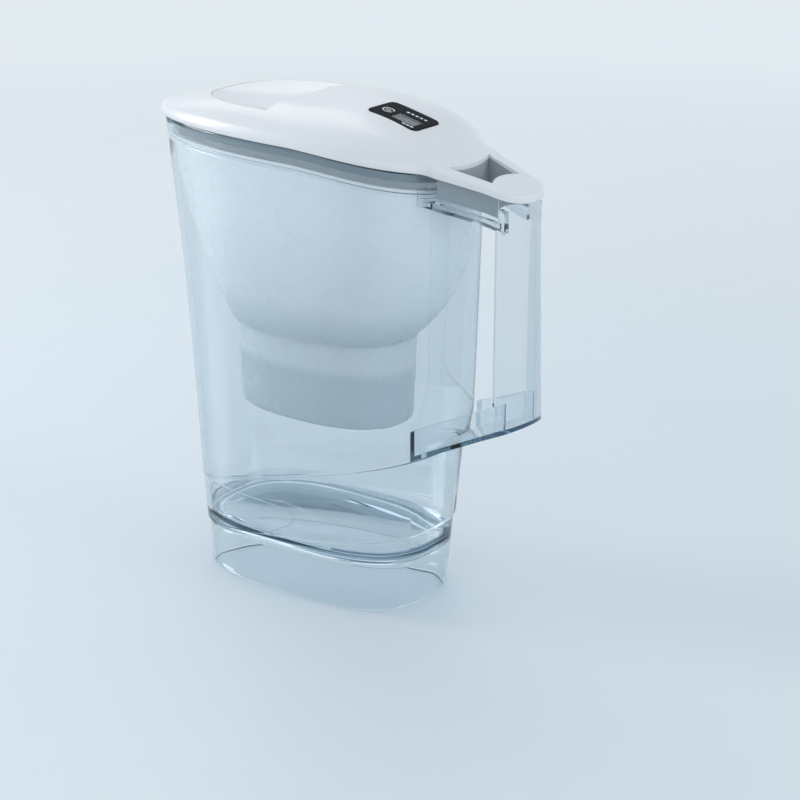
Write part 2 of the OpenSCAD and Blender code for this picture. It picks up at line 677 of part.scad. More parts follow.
// Places the indicator's own frame, its face at z = 0, on the sloping crown
module on_face() {
    translate([face_x, 0, face_z])
        rotate([0, face_tilt, 0])
            children();
}
module round_plate(length, width, radius, z, h) {
    hull()
        for (sx = [-1, 1]) for (sy = [-1, 1])
            translate([sx * (length / 2 - radius), sy * (width / 2 - radius), z])
                cylinder(h = h, r = radius, $fn = 32);
}
module spout_cut(side, edge) {
    translate([nose_x - 20, -spout_w / 2 + side, -tall / 2])
        cube([20 + spout_len - edge, spout_w - 2 * side, tall * 2]);
}
module lid_shell() {
    color("white")
    difference() {
        union() {
            difference() {
                lid_slab(0, 0);
                lid_slab(lid_t, lid_t, 30, 6, floor_z = slab_floor - 4);
            }
            for (side = [-1, 1]) {
                translate([pin_x - 3.5, side * (ear_y + ear_w / 2) - ear_w / 2, pin_z - 3])
                    cube([7, ear_w, ear_top - pin_z + 3]);
                translate([spout_pin_x - 2, side * (spout_ear_y + 1) - 1, spout_pin_z - 1.9])
                    cube([4, 2, spout_ear_top - spout_pin_z + 1.9]);
            }
        }
        band(-tall, 0);
        translate([0, 0, -tall / 2])
            linear_extrude(tall * 2)
                polygon(hole_outline());
        translate([0, 0, -tall / 2])
            linear_extrude(tall * 2)
                polygon(moon_outline());
        spout_cut(0, 0);
        on_face()
            round_plate(face_len + 0.4, face_w + 0.4, 4.2, -8, 20);
        for (side = [-1, 1]) {
            translate([pin_x, side * (ear_y + ear_w / 2), pin_z])
                rotate([90, 0, 0])
                    cylinder(h = ear_w + 2 * ear_gap, r = pin_d / 2 + pin_gap, center = true, $fn = 48);
            translate([spout_pin_x, side * (spout_ear_y + 1), spout_pin_z])
                rotate([90, 0, 0])
                    cylinder(h = 3, r = spout_pin_r + pin_gap, center = true, $fn = 48);
        }
        // room for the back edge of the spout flap as it swings down
        translate([spout_pin_x, 0, spout_pin_z])
            rotate([90, 0, 0])
                cylinder(h = spout_w, r = spout_sweep, center = true, $fn = 64);
    }
}

frame_t = 1.6;
skirt_inset = wall + slip + 0.3;          // from the outside of the tank to the skirt
module skirt() {
    intersection() {
        difference() {
            linear_extrude(rim_z + 2.5)
                polygon(tank_outline(rim_z - skirt_h, skirt_inset, false));
            linear_extrude(tall)
                polygon(tank_outline(rim_z - skirt_h, skirt_inset + frame_t, false));
            translate([nose_x, -spout_w / 2 - 1, 0])
                cube([spout_len + 2, spout_w + 2, tall]);
        }
        band(-skirt_h, 2.5);
    }
}
module arm_skirts() {
    inset = rail_inset + grip_wall + slip;
    intersection() {
        difference() {
            arm_column(inset, hole_x0 - 3, grip_edge_x - gap);
            arm_column(inset + frame_t, hole_x0 - 4, grip_edge_x + 1);
        }
        band(-well_h, 1.5);
    }
}
module hand_well() {
    intersection() {
        difference() {
            linear_extrude(tall)
                polygon(hole_outline(frame_t));
            translate([0, 0, -1])
                linear_extrude(tall + 2)
                    polygon(hole_outline());
        }
        band(-well_h, 30);
    }
}
module flap_well() {
    intersection() {
        difference() {
            linear_extrude(tall)
                polygon(moon_outline(1.2 + frame_t));
            translate([0, 0, -1])
                linear_extrude(tall + 2)
                    polygon(moon_outline(1.2));
            translate([flap_x + 1, -lid_w, -1])
                cube([10, 2 * lid_w, tall + 2]);
            for (side = [-1, 1])
                translate([pin_x - 5, side * (ear_y + 2) - 5, -1])
                    cube([10, 10, tall + 2]);
        }
        band(2, 30);
    }
}
module tail_plug() {
    intersection() {
        difference() {
            loft([for (z = [rim_z - 60, rim_z + 2]) grip_ring(z, grip_wall + slip)]);
            loft([for (z = [rim_z - 61, rim_z + 3]) grip_ring(z, grip_wall + slip + frame_t)]);
            translate([grip_edge_x - 2, -lid_w, 0])
                cube([2.8, 2 * lid_w, tall]);
        }
        band(-5, 1.5);
    }
}
// Ribs that tie the skirt, the wells and the arms into one moulding
rib_y = face_w / 2 + 2.75;                // clear of the indicator's case
module frame_ribs() {
    for (x = [flap_x + 0.3, hole_x0 - 6])
        translate([x, -lid_half(x) + 4, edge_z(x) + 1])
            cube([frame_t, 2 * lid_half(x) - 8, 30]);
    for (side = [-1, 1]) {
        intersection() {
            translate([flap_x + 0.4, side * rib_y - frame_t / 2, 0])
                cube([hole_x0 - flap_x, frame_t, tall]);
            band(1, 40);
        }
        translate([arm_x0 + 8, side * (hole_w_tail / 2 + 3.5) - 4, edge_z(arm_x0 + 8) - 3])
            cube([frame_t, 8, 4]);
        // from the flap well to the skirt
        translate([flap_x - flap_len * 0.45, side * (flap_w / 2 + 3) - 4.5, edge_z(flap_x)])
            cube([frame_t, 9, 4.5]);
        // from the hand hole to the tail plug
        translate([hole_x1 - 2, side * 6 - frame_t / 2, edge_z(tail_x) - 2])
            cube([grip_back_x - grip_wall - slip - 0.8 - hole_x1 + 2, frame_t, 12]);
    }
}
module lid_frame() {
    color([0.88, 0.90, 0.92])
    intersection() {
        union() {
            skirt();
            arm_skirts();
            hand_well();
            flap_well();
            tail_plug();
            frame_ribs();
        }
        lid_slab(lid_t + 0.5, lid_t + 0.4, 26, 5);
    }
}

// ---------- fill flap ----------
function dish_top(r, a) = let (p = moon(r, a)) lid_top_xy(p[0], p[1]) - dish_depth * (1 - pow(r, 2.2));
module fill_flap_plate() {
    rings = 8;
    n = 30;
    shrink = 1 - 2 * flap_side_gap / flap_w;
    w = n + 1;
    top = [for (k = [0 : rings]) for (i = [0 : n])
        let (r = max(0.02, k / rings), a = -90 + 180 * i / n, p = moon(r * shrink, a))
        [p[0] - flap_edge_gap * (1 - pow(cos(a), 2)), p[1], dish_top(r, a)]];
    low = [for (p = top) [p[0], p[1], p[2] - flap_t]];
    m = len(top);
    quads = [for (k = [0 : rings - 1]) for (i = [0 : n - 1])
        [k * w + i, (k + 1) * w + i, (k + 1) * w + i + 1, k * w + i + 1]];
    up = [for (q = quads) each [[q[0], q[1], q[2]], [q[0], q[2], q[3]]]];
    down = [for (q = quads) each [[m + q[2], m + q[1], m + q[0]], [m + q[3], m + q[2], m + q[0]]]];
    rim = [for (i = [0 : n - 1]) let (a = rings * w + i)
        each [[a + 1, a, m + a], [a + 1, m + a, m + a + 1]]];
    middle = [for (i = [0 : n - 1]) each [[i, i + 1, m + i + 1], [i, m + i + 1, m + i]]];
    edge_a = [for (k = [0 : rings - 1]) let (a = k * w, b = a + w)
        each [[b, a, m + a], [b, m + a, m + b]]];
    edge_b = [for (k = [0 : rings - 1]) let (a = k * w + n, b = a + w)
        each [[a, b, m + b], [a, m + b, m + a]]];
    polyhedron(concat(top, low), concat(up, down, rim, middle, edge_a, edge_b));
}
module fill_flap() {
    color("white")
    union() {
        fill_flap_plate();
        for (side = [-1, 1]) {
            translate([pin_x - 3, side * pin_lug_y - 1.5, pin_z - 3])
                cube([6, 3, lug_top - pin_z + 3]);
            translate([pin_x, side * (pin_lug_y + ear_y + ear_w) / 2, pin_z])
                rotate([90, 0, 0])
                    cylinder(h = ear_y + ear_w - pin_lug_y, d = pin_d, center = true, $fn = 48);
        }
    }
}

// ---------- spout flap ----------
module spout_flap() {
    color("white")
    union() {
        intersection() {
            difference() {
                lid_slab(0, 0, 10, 6, seam_x + 3);
                lid_slab(lid_t, lid_t, 8, 5, seam_x + 6, slab_floor - 4);
            }
            spout_cut(0.4, spout_seam);
            band(0, tall);
        }
        for (side = [-1, 1]) {
            translate([spout_pin_x - 1.6, side * (spout_w / 2 - 1.6) - 1, spout_pin_z - 0.7])
                cube([3.2, 2, 2.3]);
            translate([spout_pin_x, side * (spout_w / 2 + 0.6), spout_pin_z])
                rotate([90, 0, 0])
                    cylinder(h = 4, r = spout_pin_r, center = true, $fn = 48);
        }
    }
}

// ---------- indicator ----------
bezel_t = 1.4;
window_len = face_len - 16.5;             // what the button and the margins leave
window_w = face_w - 15;
window_t = 0.8;
window_at = [face_len / 2 - 4.35 - window_len / 2, -2.3];
button_at = [6.8 - face_len / 2, -1.4];
display_low = -3.2;                       // underside of the display and of the button
display_t = 1.6;
display_edge = 0.8;                       // how far the display runs past the window
board_z = -5.4;
board_t = 1;
board_len = face_len - 5.6;
board_w = face_w - 4.5;
board_top = board_z + board_t / 2;
board_low = board_z - board_t / 2;
back_depth = 10;
back_wall = 1.2;
seat = 0.15;                              // fixed clearance between the pieces of the module
module indicator_bezel() {
    color([0.05, 0.05, 0.06])
    on_face()
        difference() {
            round_plate(face_len, face_w, 4, -bezel_t, bezel_t);
            translate([window_at[0] - window_len / 2, window_at[1] - window_w / 2, -3])
                cube([window_len, window_w, 6]);
            translate([button_at[0], button_at[1], -3])
                cylinder(h = 6, d = button_d + 0.4, $fn = 48);
        }
}
module indicator_window() {
    color([0.6, 0.7, 0.7, 0.5])
    on_face()
        translate([window_at[0] - window_len / 2 + seat, window_at[1] - window_w / 2 + seat, -window_t - gap])
            cube([window_len - 2 * seat, window_w - 2 * seat, window_t]);
}
module indicator_display() {
    color([0.45, 0.52, 0.50])
    on_face()
        translate([window_at[0] - window_len / 2 - display_edge,
                   window_at[1] - window_w / 2 - display_edge, display_low])
            cube([window_len + 2 * display_edge, window_w + 2 * display_edge, display_t]);
}
module indicator_button() {
    color([0.12, 0.12, 0.13])
    on_face()
        translate([button_at[0], button_at[1], 0]) {
            translate([0, 0, -2.2])
                cylinder(h = 2.3, d = button_d, $fn = 48);
            translate([0, 0, display_low])
                cylinder(h = 1.1, d = 3, $fn = 32);
        }
}
module indicator_button_pad() {
    color([0.25, 0.27, 0.28])
    on_face()
        translate([button_at[0], button_at[1], board_top + seat])
            cylinder(h = display_low - gap - button_travel - board_top - seat, r1 = 3.4, r2 = 1.6, $fn = 32);
}
module indicator_board() {
    color([0.05, 0.35, 0.20])
    on_face()
        translate([-board_len / 2, -board_w / 2, board_low])
            cube([board_len, board_w, board_t]);
}
module indicator_connector() {
    color([0.85, 0.5, 0.6])
    on_face()
        translate([window_at[0] - window_len / 2, window_at[1] + window_w / 2 - 1, board_top + seat])
            cube([window_len, 1.6, display_low - board_top - 2 * seat]);
}
cell_d = 16;
cell_t = 2;
cell_x = 2;
clip_t = 0.4;
clip_w = 5;
module indicator_battery() {
    color("silver")
    on_face()
        translate([cell_x, 0, board_low - seat - cell_t])
            cylinder(h = cell_t, d = cell_d, $fn = 64);
}
module indicator_battery_clip() {
    low = board_low - seat - cell_t - seat - clip_t;
    color("goldenrod")
    on_face()
        union() {
            translate([cell_x - cell_d / 2 - 3 * clip_t, -clip_w / 2, low])
                cube([cell_d + 6 * clip_t, clip_w, clip_t]);
            for (side = [-1, 1])
                translate([cell_x + side * (cell_d / 2 + 2 * clip_t) - clip_t, -clip_w / 2, low])
                    cube([2 * clip_t, clip_w, board_low - seat - low]);
        }
}
module indicator_seal() {
    color([0.2, 0.2, 0.2])
    on_face()
        difference() {
            round_plate(face_len - 0.6, face_w - 0.6, 3.7, -bezel_t - 0.9, 0.8);
            round_plate(face_len - 3.4, face_w - 3.4, 2.6, -bezel_t - 1, 1);
        }
}
module indicator_back() {
    color([0.9, 0.9, 0.9])
    on_face()
        difference() {
            round_plate(face_len - 0.4, face_w - 0.4, 3.8, -back_depth, back_depth - bezel_t - 1);
            round_plate(face_len - 0.4 - 2 * back_wall, face_w - 0.4 - 2 * back_wall, 3.8 - back_wall,
                        back_wall - back_depth, back_depth);
        }
}

jug();
jug_grip();
funnel();
cartridge_shell();
cartridge_cap();
cartridge_top_mesh();
cartridge_base_mesh();
filter_media();
lid_shell();
lid_frame();
fill_flap();
spout_flap();
indicator_bezel();
indicator_window();
indicator_display();
indicator_button();
indicator_button_pad();
indicator_board();
indicator_connector();
indicator_battery();
indicator_battery_clip();
indicator_seal();
indicator_back();
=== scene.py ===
"""Looks of a slim water filter pitcher with a flip lid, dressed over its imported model.

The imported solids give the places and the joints. The large moulded pieces are drawn
again here as fine, smooth meshes from the same curves, and every piece gets its finish.
Lengths inside the shape code are millimetres; meshes are written in metres.
"""
import logging
import math
from dataclasses import dataclass, field
from enum import Enum
from typing import Callable, Iterable, Sequence

import bmesh
import bpy
import numpy as np
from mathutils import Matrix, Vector


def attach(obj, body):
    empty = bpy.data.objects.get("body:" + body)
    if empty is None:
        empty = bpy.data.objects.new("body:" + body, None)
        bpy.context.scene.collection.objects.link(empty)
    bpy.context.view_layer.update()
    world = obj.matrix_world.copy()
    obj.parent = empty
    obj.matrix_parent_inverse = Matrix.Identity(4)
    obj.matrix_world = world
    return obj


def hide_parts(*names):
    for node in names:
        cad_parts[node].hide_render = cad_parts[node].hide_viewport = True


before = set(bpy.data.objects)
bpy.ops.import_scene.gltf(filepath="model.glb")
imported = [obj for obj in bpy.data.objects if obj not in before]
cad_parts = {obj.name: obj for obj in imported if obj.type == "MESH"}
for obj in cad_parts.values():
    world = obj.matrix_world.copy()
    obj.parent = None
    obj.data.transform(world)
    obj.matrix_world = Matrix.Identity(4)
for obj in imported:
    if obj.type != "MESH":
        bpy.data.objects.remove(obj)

log = logging.getLogger("pitcher")
logging.basicConfig(level=logging.INFO, format="%(message)s")

MM = 0.001
PLASTIC_IOR = 1.5
Point = tuple[float, float, float]
Ring = list[Point]
Plan = list[tuple[float, float]]
Table = tuple[tuple[float, float], ...]
Colour = tuple[float, float, float]
Piece = bpy.types.Object
Finish = bpy.types.Material
Socket = bpy.types.NodeSocket


def write_bounds() -> None:
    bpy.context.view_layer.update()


write_bounds()


# ---------------------------------------- curves

def mix(a: float, b: float, t: float) -> float:
    """Returns the value a share t of the way from a to b."""
    return a + (b - a) * t


def clamp(t: float) -> float:
    """Returns t held between 0 and 1."""
    return min(1.0, max(0.0, t))


def ease(t: float) -> float:
    """Returns a smooth step from 0 to 1."""
    u = clamp(t)
    return u * u * (3 - 2 * u)


def signed_power(v: float, e: float) -> float:
    """Returns the power of the size of v with v's own sign."""
    return math.copysign(abs(v) ** e, v)


@dataclass(frozen=True)
class Form:
    """Sizes of the pitcher in millimetres and the curves that follow from them."""

    # driving sizes
    nose_x: float = -121.5
    lid_len: float = 241.0
    lid_w: float = 105.98
    pitcher_h: float = 277.0
    base_len: float = 144.0
    base_w: float = 91.0
    base_from_nose: float = 103.5
    widest_from_nose: float = 126.5
    rim_len: float = 194.0
    nose_overhang: float = 2.5
    slip: float = 0.6                       # play between pieces that slide into each other
    gap: float = 0.3                        # play between lid and tank

    # tank, grip and bridges
    wall: float = 2.2
    stand_h: float = 30.0
    floor_t: float = 3.0
    stand_step: float = 1.2
    grip_w: float = 35.0
    grip_depth: float = 10.5
    grip_lean: float = 4.1
    grip_setback: float = 2.5
    grip_wall: float = 2.6
    grip_power: float = 2.2                 # powers make superellipses: 2 is round, more is squarer
    grip_points: int = 48
    bridge_z: float = 95.0
    bridge_slope: float = 0.44
    bridge_h: float = 17.0
    bridge_reach: float = 12.0              # from the end of the foot to where the bridge starts
    rail_h: float = 17.0
    rim_step: float = 4.0                   # how far the tank's back still leans out above its waist
    waist_drop: float = 25.0                # from the bridge's height down to the waist
    waist_blend: float = 20.0
    waist_tilt: float = 0.27
    waist_fade: float = 110.0               # height over which the tilt of the rings dies out
    waist_back: float = 3.5                 # step of the crease at the back of the tank
    waist_side: float = 0.8                 # step of the crease at its sides
    flare_power: float = 1.2
    front_power: float = 1.5
    foot_powers: tuple[float, ...] = (3.0, 3.0, 3.0, 2.8)
    rim_powers: tuple[float, ...] = (2.1, 2.6, 2.8, 2.4)

    # lid
    crown_h: float = 13.0
    side_h: float = 4.5
    rim_drop: float = 21.0
    lid_t: float = 2.2
    lid_overhang: float = 1.0
    edge_lead: float = 10.0                 # the edge starts to fall this far before the widest place
    edge_power: float = 1.7
    nose_powers: tuple[float, float] = (2.1, 2.6)
    tail_powers: tuple[float, float] = (2.6, 2.2)
    crown_front_power: float = 2.2
    crown_back_power: float = 3.2
    crown_level: float = 14.0               # flat stretch of the crown behind the flap
    crown_end: float = 10.0
    top_power: float = 5.0
    arm_root: float = 2.0                   # the arms start this far before the hand hole
    arm_root_half: float = 28.0
    arm_rise: float = 40.0
    arm_tip: float = 17.5
    arm_blend: float = 8.0
    body_end: float = 1.0
    pad_margin: float = 1.2
    least_half: float = 0.4
    plan_step: float = 1.5                  # spacing of the points round the lid
    plan_samples: int = 600
    plan_smoothing: int = 2
    hole_from_tail: float = 41.5
    hole_len: float = 23.0
    hole_w_tank: float = 36.0
    hole_w_tail: float = 25.0
    hole_bow_tank: float = 2.5
    hole_bow_tail: float = 3.5
    hole_points: int = 24
    well_h: float = 11.0
    skirt_h: float = 5.5

    # flaps
    flap_from_nose: float = 96.5
    flap_len: float = 61.0
    flap_w: float = 77.0
    flap_t: float = 2.0
    dish_depth: float = 8.0
    dish_power: float = 3.2
    moon_power: float = 2.3
    moon_points: int = 72
    pin_back: float = 12.0
    pin_d: float = 3.0
    spout_len: float = 13.0
    spout_w: float = 36.0

    # funnel
    funnel_wall: float = 1.8
    lip_drop: float = 9.5
    bowl_z: float = 150.0
    bowl_play: float = 1.2
    bowl_nose_play: float = 2.0
    bowl_front_power: float = 1.6
    bowl_back_power: float = 3.4
    bowl_side_power: float = 2.6
    bowl_ledge: float = 1.0                 # ledge between bowl and pocket, at its ends
    bowl_side_ledge: float = 4.0
    pocket_offset: float = 1.0
    pocket_z: float = 100.0
    pocket_len: float = 110.0
    pocket_w: float = 66.0
    pocket_power: float = 2.4

    # face of the change indicator
    face_len: float = 32.0
    face_w: float = 24.5
    face_from_tail: float = 83.5

    @property
    def tail_x(self) -> float:
        """Tail end of the lid."""
        return self.nose_x + self.lid_len

    @property
    def widest_x(self) -> float:
        """Place of the lid's widest section."""
        return self.nose_x + self.widest_from_nose

    @property
    def base_x(self) -> float:
        """Middle of the foot."""
        return self.nose_x + self.base_from_nose

    @property
    def rim_z(self) -> float:
        """Height of the lid edge at the nose."""
        return self.pitcher_h - self.crown_h - self.side_h

    @property
    def rim_front(self) -> float:
        """Front of the tank at its rim."""
        return self.nose_x + self.nose_overhang

    @property
    def rim_back(self) -> float:
        """Back of the tank at its rim."""
        return self.rim_front + self.rim_len

    @property
    def tank_half(self) -> float:
        """Half the width of the tank at its rim."""
        return self.lid_w / 2 - self.lid_overhang

    @property
    def waist_z(self) -> float:
        """Height of the waist's crease over the middle of the foot."""
        return self.bridge_z - self.waist_drop

    @property
    def arm_x0(self) -> float:
        """Place where the lid's arms leave its body."""
        return self.tail_x - self.hole_from_tail - self.arm_root

    @property
    def flap_x(self) -> float:
        """Straight edge of the fill flap."""
        return self.nose_x + self.flap_from_nose

    @property
    def grip_back(self) -> float:
        """Back of the grip at its top."""
        return self.tail_x - self.grip_setback

    @property
    def grip_edge(self) -> float:
        """Free edges of the grip channel."""
        return self.grip_back - self.grip_depth

    @property
    def bridge_x(self) -> float:
        """Place where the lower bridge leaves the tank."""
        return self.base_x + self.base_len / 2 + self.bridge_reach

    @property
    def bowl_x(self) -> float:
        """Middle of the funnel's pocket."""
        return self.base_x + self.pocket_offset

    @property
    def hole_x(self) -> tuple[float, float]:
        """Both ends of the hand hole."""
        start = self.tail_x - self.hole_from_tail
        return start, start + self.hole_len

    def edge_z(self, x: float) -> float:
        """Returns the height of the lid's lower edge at a place along X."""
        start = self.widest_x - self.edge_lead
        return self.rim_z - self.rim_drop * clamp((x - start) / (self.tail_x - start)) ** self.edge_power

    def body_half(self, x: float) -> float:
        """Returns half the width of the lid's body, without its arms.

        Args:
            x: Place along the lid.

        Returns:
            Half the width there.
        """
        if x < self.widest_x:
            share = clamp((self.widest_x - x) / self.widest_from_nose)
            along, across = self.nose_powers
        else:
            share = clamp((x - self.widest_x) / (self.arm_x0 - self.body_end - self.widest_x))
            along, across = self.tail_powers
        return self.lid_w / 2 * (1 - share ** along) ** (1 / across)

    def arm_reach(self, x: float) -> float:
        """Returns how far out the lid's arms and its tail pad reach.

        Args:
            x: Place along the lid.

        Returns:
            Their distance from the middle line.
        """
        along, across = self.tail_powers
        pad = self.grip_w / 2 + self.pad_margin
        end = clamp((x - (self.tail_x - pad)) / pad)
        span = clamp((x - self.arm_x0) / (self.tail_x - self.arm_tip - self.arm_x0))
        rise = ease((x - self.widest_x + self.arm_rise / 2) / self.arm_rise)
        return mix(self.arm_root_half, pad, span) * rise * (1 - end ** along) ** (1 / across)

    def lid_half(self, x: float) -> float:
        """Returns half the width of the whole lid."""
        body, arm = self.body_half(x) ** self.arm_blend, self.arm_reach(x) ** self.arm_blend
        return max(self.least_half, (body + arm) ** (1 / self.arm_blend))

    def crown(self, x: float) -> float:
        """Returns the rise of the lid's middle above its edge.

        Args:
            x: Place along the lid.

        Returns:
            The rise there.
        """
        if x < self.flap_x:
            share = clamp((self.flap_x - x) / self.flap_from_nose)
            return self.crown_h * (1 - share ** self.crown_front_power)
        reach = self.arm_x0 - self.flap_x - self.crown_end
        share = clamp((x - self.flap_x - self.crown_level) / reach)
        return self.crown_h * (1 - share ** self.crown_back_power)

    def lid_top(self, x: float, y: float) -> float:
        """Returns the height of the lid's top surface, without its rounded edge."""
        v = clamp(abs(y) / self.lid_half(x))
        return self.edge_z(x) + self.side_h + self.crown(x) * (1 - v ** self.top_power)

    @staticmethod
    def egg(mid: float, front: float, back: float, half: float, powers: Sequence[float], n: int) -> Plan:
        """Returns an egg shaped outline.

        Args:
            mid: Place of its widest section.
            front: Reach towards the nose.
            back: Reach towards the handle.
            half: Half its width.
            powers: Along and across on the nose side, then along and across on the other.
            n: Count of its points.

        Returns:
            The outline's points, anticlockwise from the handle side.
        """
        out = []
        for i in range(n):
            a = 2 * math.pi * i / n
            c, s = math.cos(a), math.sin(a)
            nose = c < -1e-6
            ex, ey = (powers[0], powers[1]) if nose else (powers[2], powers[3])
            out.append((mid + (front if nose else back) * signed_power(c, 2 / ex),
                        half * signed_power(s, 2 / ey)))
        return out

    def tank_back(self, z: float) -> float:
        """Returns the back of the tank at a height.

        Args:
            z: The height.

        Returns:
            Place of the back along X.
        """
        upper = self.rim_back - self.rim_step
        split = self.waist_z + self.waist_blend
        if z > split:
            return mix(upper, self.rim_back, clamp((z - split) / (self.rim_z - split)))
        return mix(self.base_x + self.base_len / 2 + self.waist_back, upper, clamp(z / split))

    def tank_outline(self, z: float, inset: float, low: float, n: int) -> Plan:
        """Returns the tank's outline at a height.

        Args:
            z: Height of the outline.
            inset: Distance it is drawn in by.
            low: 1 below the crease of the waist, 0 above it.
            n: Count of its points.

        Returns:
            The outline's points.
        """
        up = clamp(z / self.rim_z)
        rise = up ** self.flare_power
        mid = mix(self.base_x, self.widest_x, rise)
        front = mid - mix(self.base_x - self.base_len / 2, self.rim_front, up ** self.front_power) - inset
        back = self.tank_back(z) - mid - inset - self.waist_back * low
        half = mix(self.base_w / 2, self.tank_half, rise) - inset - self.waist_side * low
        powers = [mix(foot, rim, rise) for foot, rim in zip(self.foot_powers, self.rim_powers)]
        return self.egg(mid, front, back, half, powers, n)

    def tank_ring(self, z: float, inset: float, low: float, n: int) -> Ring:
        """Returns one ring of the tank, tilted with the crease of the waist.

        Args:
            z: Height of the ring over the middle of the foot.
            inset: Distance it is drawn in by.
            low: 1 below the crease of the waist, 0 above it.
            n: Count of its points.

        Returns:
            The ring.
        """
        fade = 1 - ease((z - self.waist_z) / self.waist_fade)
        tilt = self.waist_tilt * ease(z / self.waist_z) * fade
        return [(x, y, z + tilt * (x - self.base_x)) for x, y in self.tank_outline(z, inset, low, n)]

    def bridge_low(self, x: float) -> float:
        """Returns the height of the lower bridge's underside."""
        return self.bridge_z + self.bridge_slope * (x - self.bridge_x)

    def grip_ring(self, z: float, inset: float) -> Ring:
        """Returns one ring of the grip's column.

        Args:
            z: Height of the ring.
            inset: Distance it is drawn in by.

        Returns:
            The ring, from one free edge round the back to the other.
        """
        foot = self.bridge_low(self.grip_back + self.grip_lean)
        top = self.edge_z(self.tail_x)
        depth = self.grip_depth + self.grip_lean * clamp((top - z) / (top - foot)) - inset
        half = self.grip_w / 2 - inset
        lead = self.grip_edge - (1 if inset > 0 else 0)
        n, power = self.grip_points, 2 / self.grip_power
        side = [(self.grip_edge + depth * max(0.0, math.cos(a)) ** power,
                 half * signed_power(math.sin(a), power), z)
                for a in (math.pi * (i / n - 0.5) for i in range(n + 1))]
        return [(lead, -half, z), *side, (lead, half, z)]

    def bowl_ring(self, t: float, inset: float, n: int) -> Ring:
        """Returns one ring of the funnel's bowl.

        Args:
            t: 0 at the lip and 1 at the bottom of the bowl.
            inset: Distance it is drawn in by.
            n: Count of its points.

        Returns:
            The ring.
        """
        lip = self.wall + self.bowl_play + self.slip
        lead = t ** self.bowl_front_power
        mid = mix(self.widest_x, self.bowl_x, lead)
        front = mix(self.bowl_x - self.pocket_len / 2 - self.bowl_ledge,
                    self.rim_front + lip + self.bowl_nose_play, 1 - lead)
        back = mix(self.bowl_x + self.pocket_len / 2 + self.bowl_ledge, self.rim_back - lip,
                   1 - t ** self.bowl_back_power)
        half = mix(self.pocket_w / 2 + self.bowl_side_ledge, self.tank_half - lip,
                   1 - t ** self.bowl_side_power)
        powers = [mix(rim, self.pocket_power, t) for rim in self.rim_powers]
        plan = self.egg(mid, mid - front - inset, back - mid - inset, half - inset, powers, n)
        return [(x, y, mix(self.edge_z(x) - self.lip_drop, self.bowl_z, t)) for x, y in plan]

    def oval(self, length: float, width: float, z: float, inset: float, n: int) -> Ring:
        """Returns a level oval ring round the middle of the pocket.

        Args:
            length: Its length.
            width: Its width.
            z: Its height.
            inset: Distance it is drawn in by.
            n: Count of its points.

        Returns:
            The ring.
        """
        reach = length / 2 - inset
        plan = self.egg(self.bowl_x, reach, reach, width / 2 - inset, [self.pocket_power] * 4, n)
        return [(x, y, z) for x, y in plan]

    def moon(self, r: float, a: float) -> tuple[float, float]:
        """Returns a point of the half moon at a share r of its size and an angle a."""
        return (self.flap_x - self.flap_len * r * max(0.0, math.cos(a)) ** (2 / self.moon_power),
                self.flap_w / 2 * r * signed_power(math.sin(a), 2 / self.moon_power))

    def moon_outline(self, grow: float) -> Plan:
        """Returns the half moon grown outward on its curved side.

        Args:
            grow: Distance it grows by.

        Returns:
            The outline's points.
        """
        n, k = self.moon_points, 1 + 2 * grow / self.flap_w
        out = []
        for i in range(n + 1):
            x, y = self.moon(1, math.pi * (i / n - 0.5))
            out.append((self.flap_x + (x - self.flap_x) * (1 + grow / self.flap_len), y * k))
        return out

    def dish_z(self, x: float, y: float, r: float) -> float:
        """Returns the height of the flap's dish at a share r of the way to its rim."""
        return self.lid_top(x, y) - self.dish_depth * (1 - r ** self.dish_power)

    def hole_outline(self, grow: float) -> Plan:
        """Returns the hand hole: a trapezoid whose ends bow into it.

        Args:
            grow: Distance it grows by on all sides.

        Returns:
            The outline's points.
        """
        n = self.hole_points
        a, b = self.hole_w_tank / 2 + grow, self.hole_w_tail / 2 + grow
        x0, x1 = self.hole_x[0] - grow, self.hole_x[1] + grow
        span = [2 * i / n - 1 for i in range(n + 1)]
        return ([(x0 + self.hole_bow_tank * (1 - v * v), a * v) for v in span]
                + [(x1 - self.hole_bow_tail * (1 - v * v), -b * v) for v in span])

    def lid_plan(self, inset: float = 0.0) -> Plan:
        """Returns the lid's outline, evenly spaced and drawn in along its normals.

        Args:
            inset: Distance it is drawn in by.

        Returns:
            The outline's points, an even count.
        """
        n = self.plan_samples
        xs = [mix(self.nose_x, self.tail_x, (1 - math.cos(math.pi * i / n)) / 2) for i in range(n + 1)]
        side = [(x, self.lid_half(x) if 0 < i < n else 0.0) for i, x in enumerate(xs)]
        loop = np.array([(x, -y) for x, y in side] + [(x, y) for x, y in reversed(side[1:-1])])
        seg = np.linalg.norm(np.roll(loop, -1, 0) - loop, axis=1)
        run = np.concatenate([[0], np.cumsum(seg)])
        count = int(run[-1] / self.plan_step / 2) * 2
        at = np.linspace(0, run[-1], count, endpoint=False)
        closed = np.vstack([loop, loop[:1]])
        even = np.stack([np.interp(at, run, closed[:, k]) for k in (0, 1)], 1)
        for _ in range(self.plan_smoothing):
            even = (np.roll(even, 1, 0) + 2 * even + np.roll(even, -1, 0)) / 4
        if inset:
            along = np.roll(even, -1, 0) - np.roll(even, 1, 0)
            along /= np.linalg.norm(along, axis=1)[:, None]
            even = even + inset * np.stack([-along[:, 1], along[:, 0]], 1)
        return [tuple(p) for p in even]


FORM = Form()


# ---------------------------------------- mesh tools

class Op(Enum):
    """Ways to combine two closed meshes."""

    CUT = "DIFFERENCE"
    JOIN = "UNION"
    KEEP = "INTERSECT"


def circle(n: int) -> Plan:
    """Returns the points of a circle with a radius of 1."""
    return [(math.cos(2 * math.pi * i / n), math.sin(2 * math.pi * i / n)) for i in range(n)]


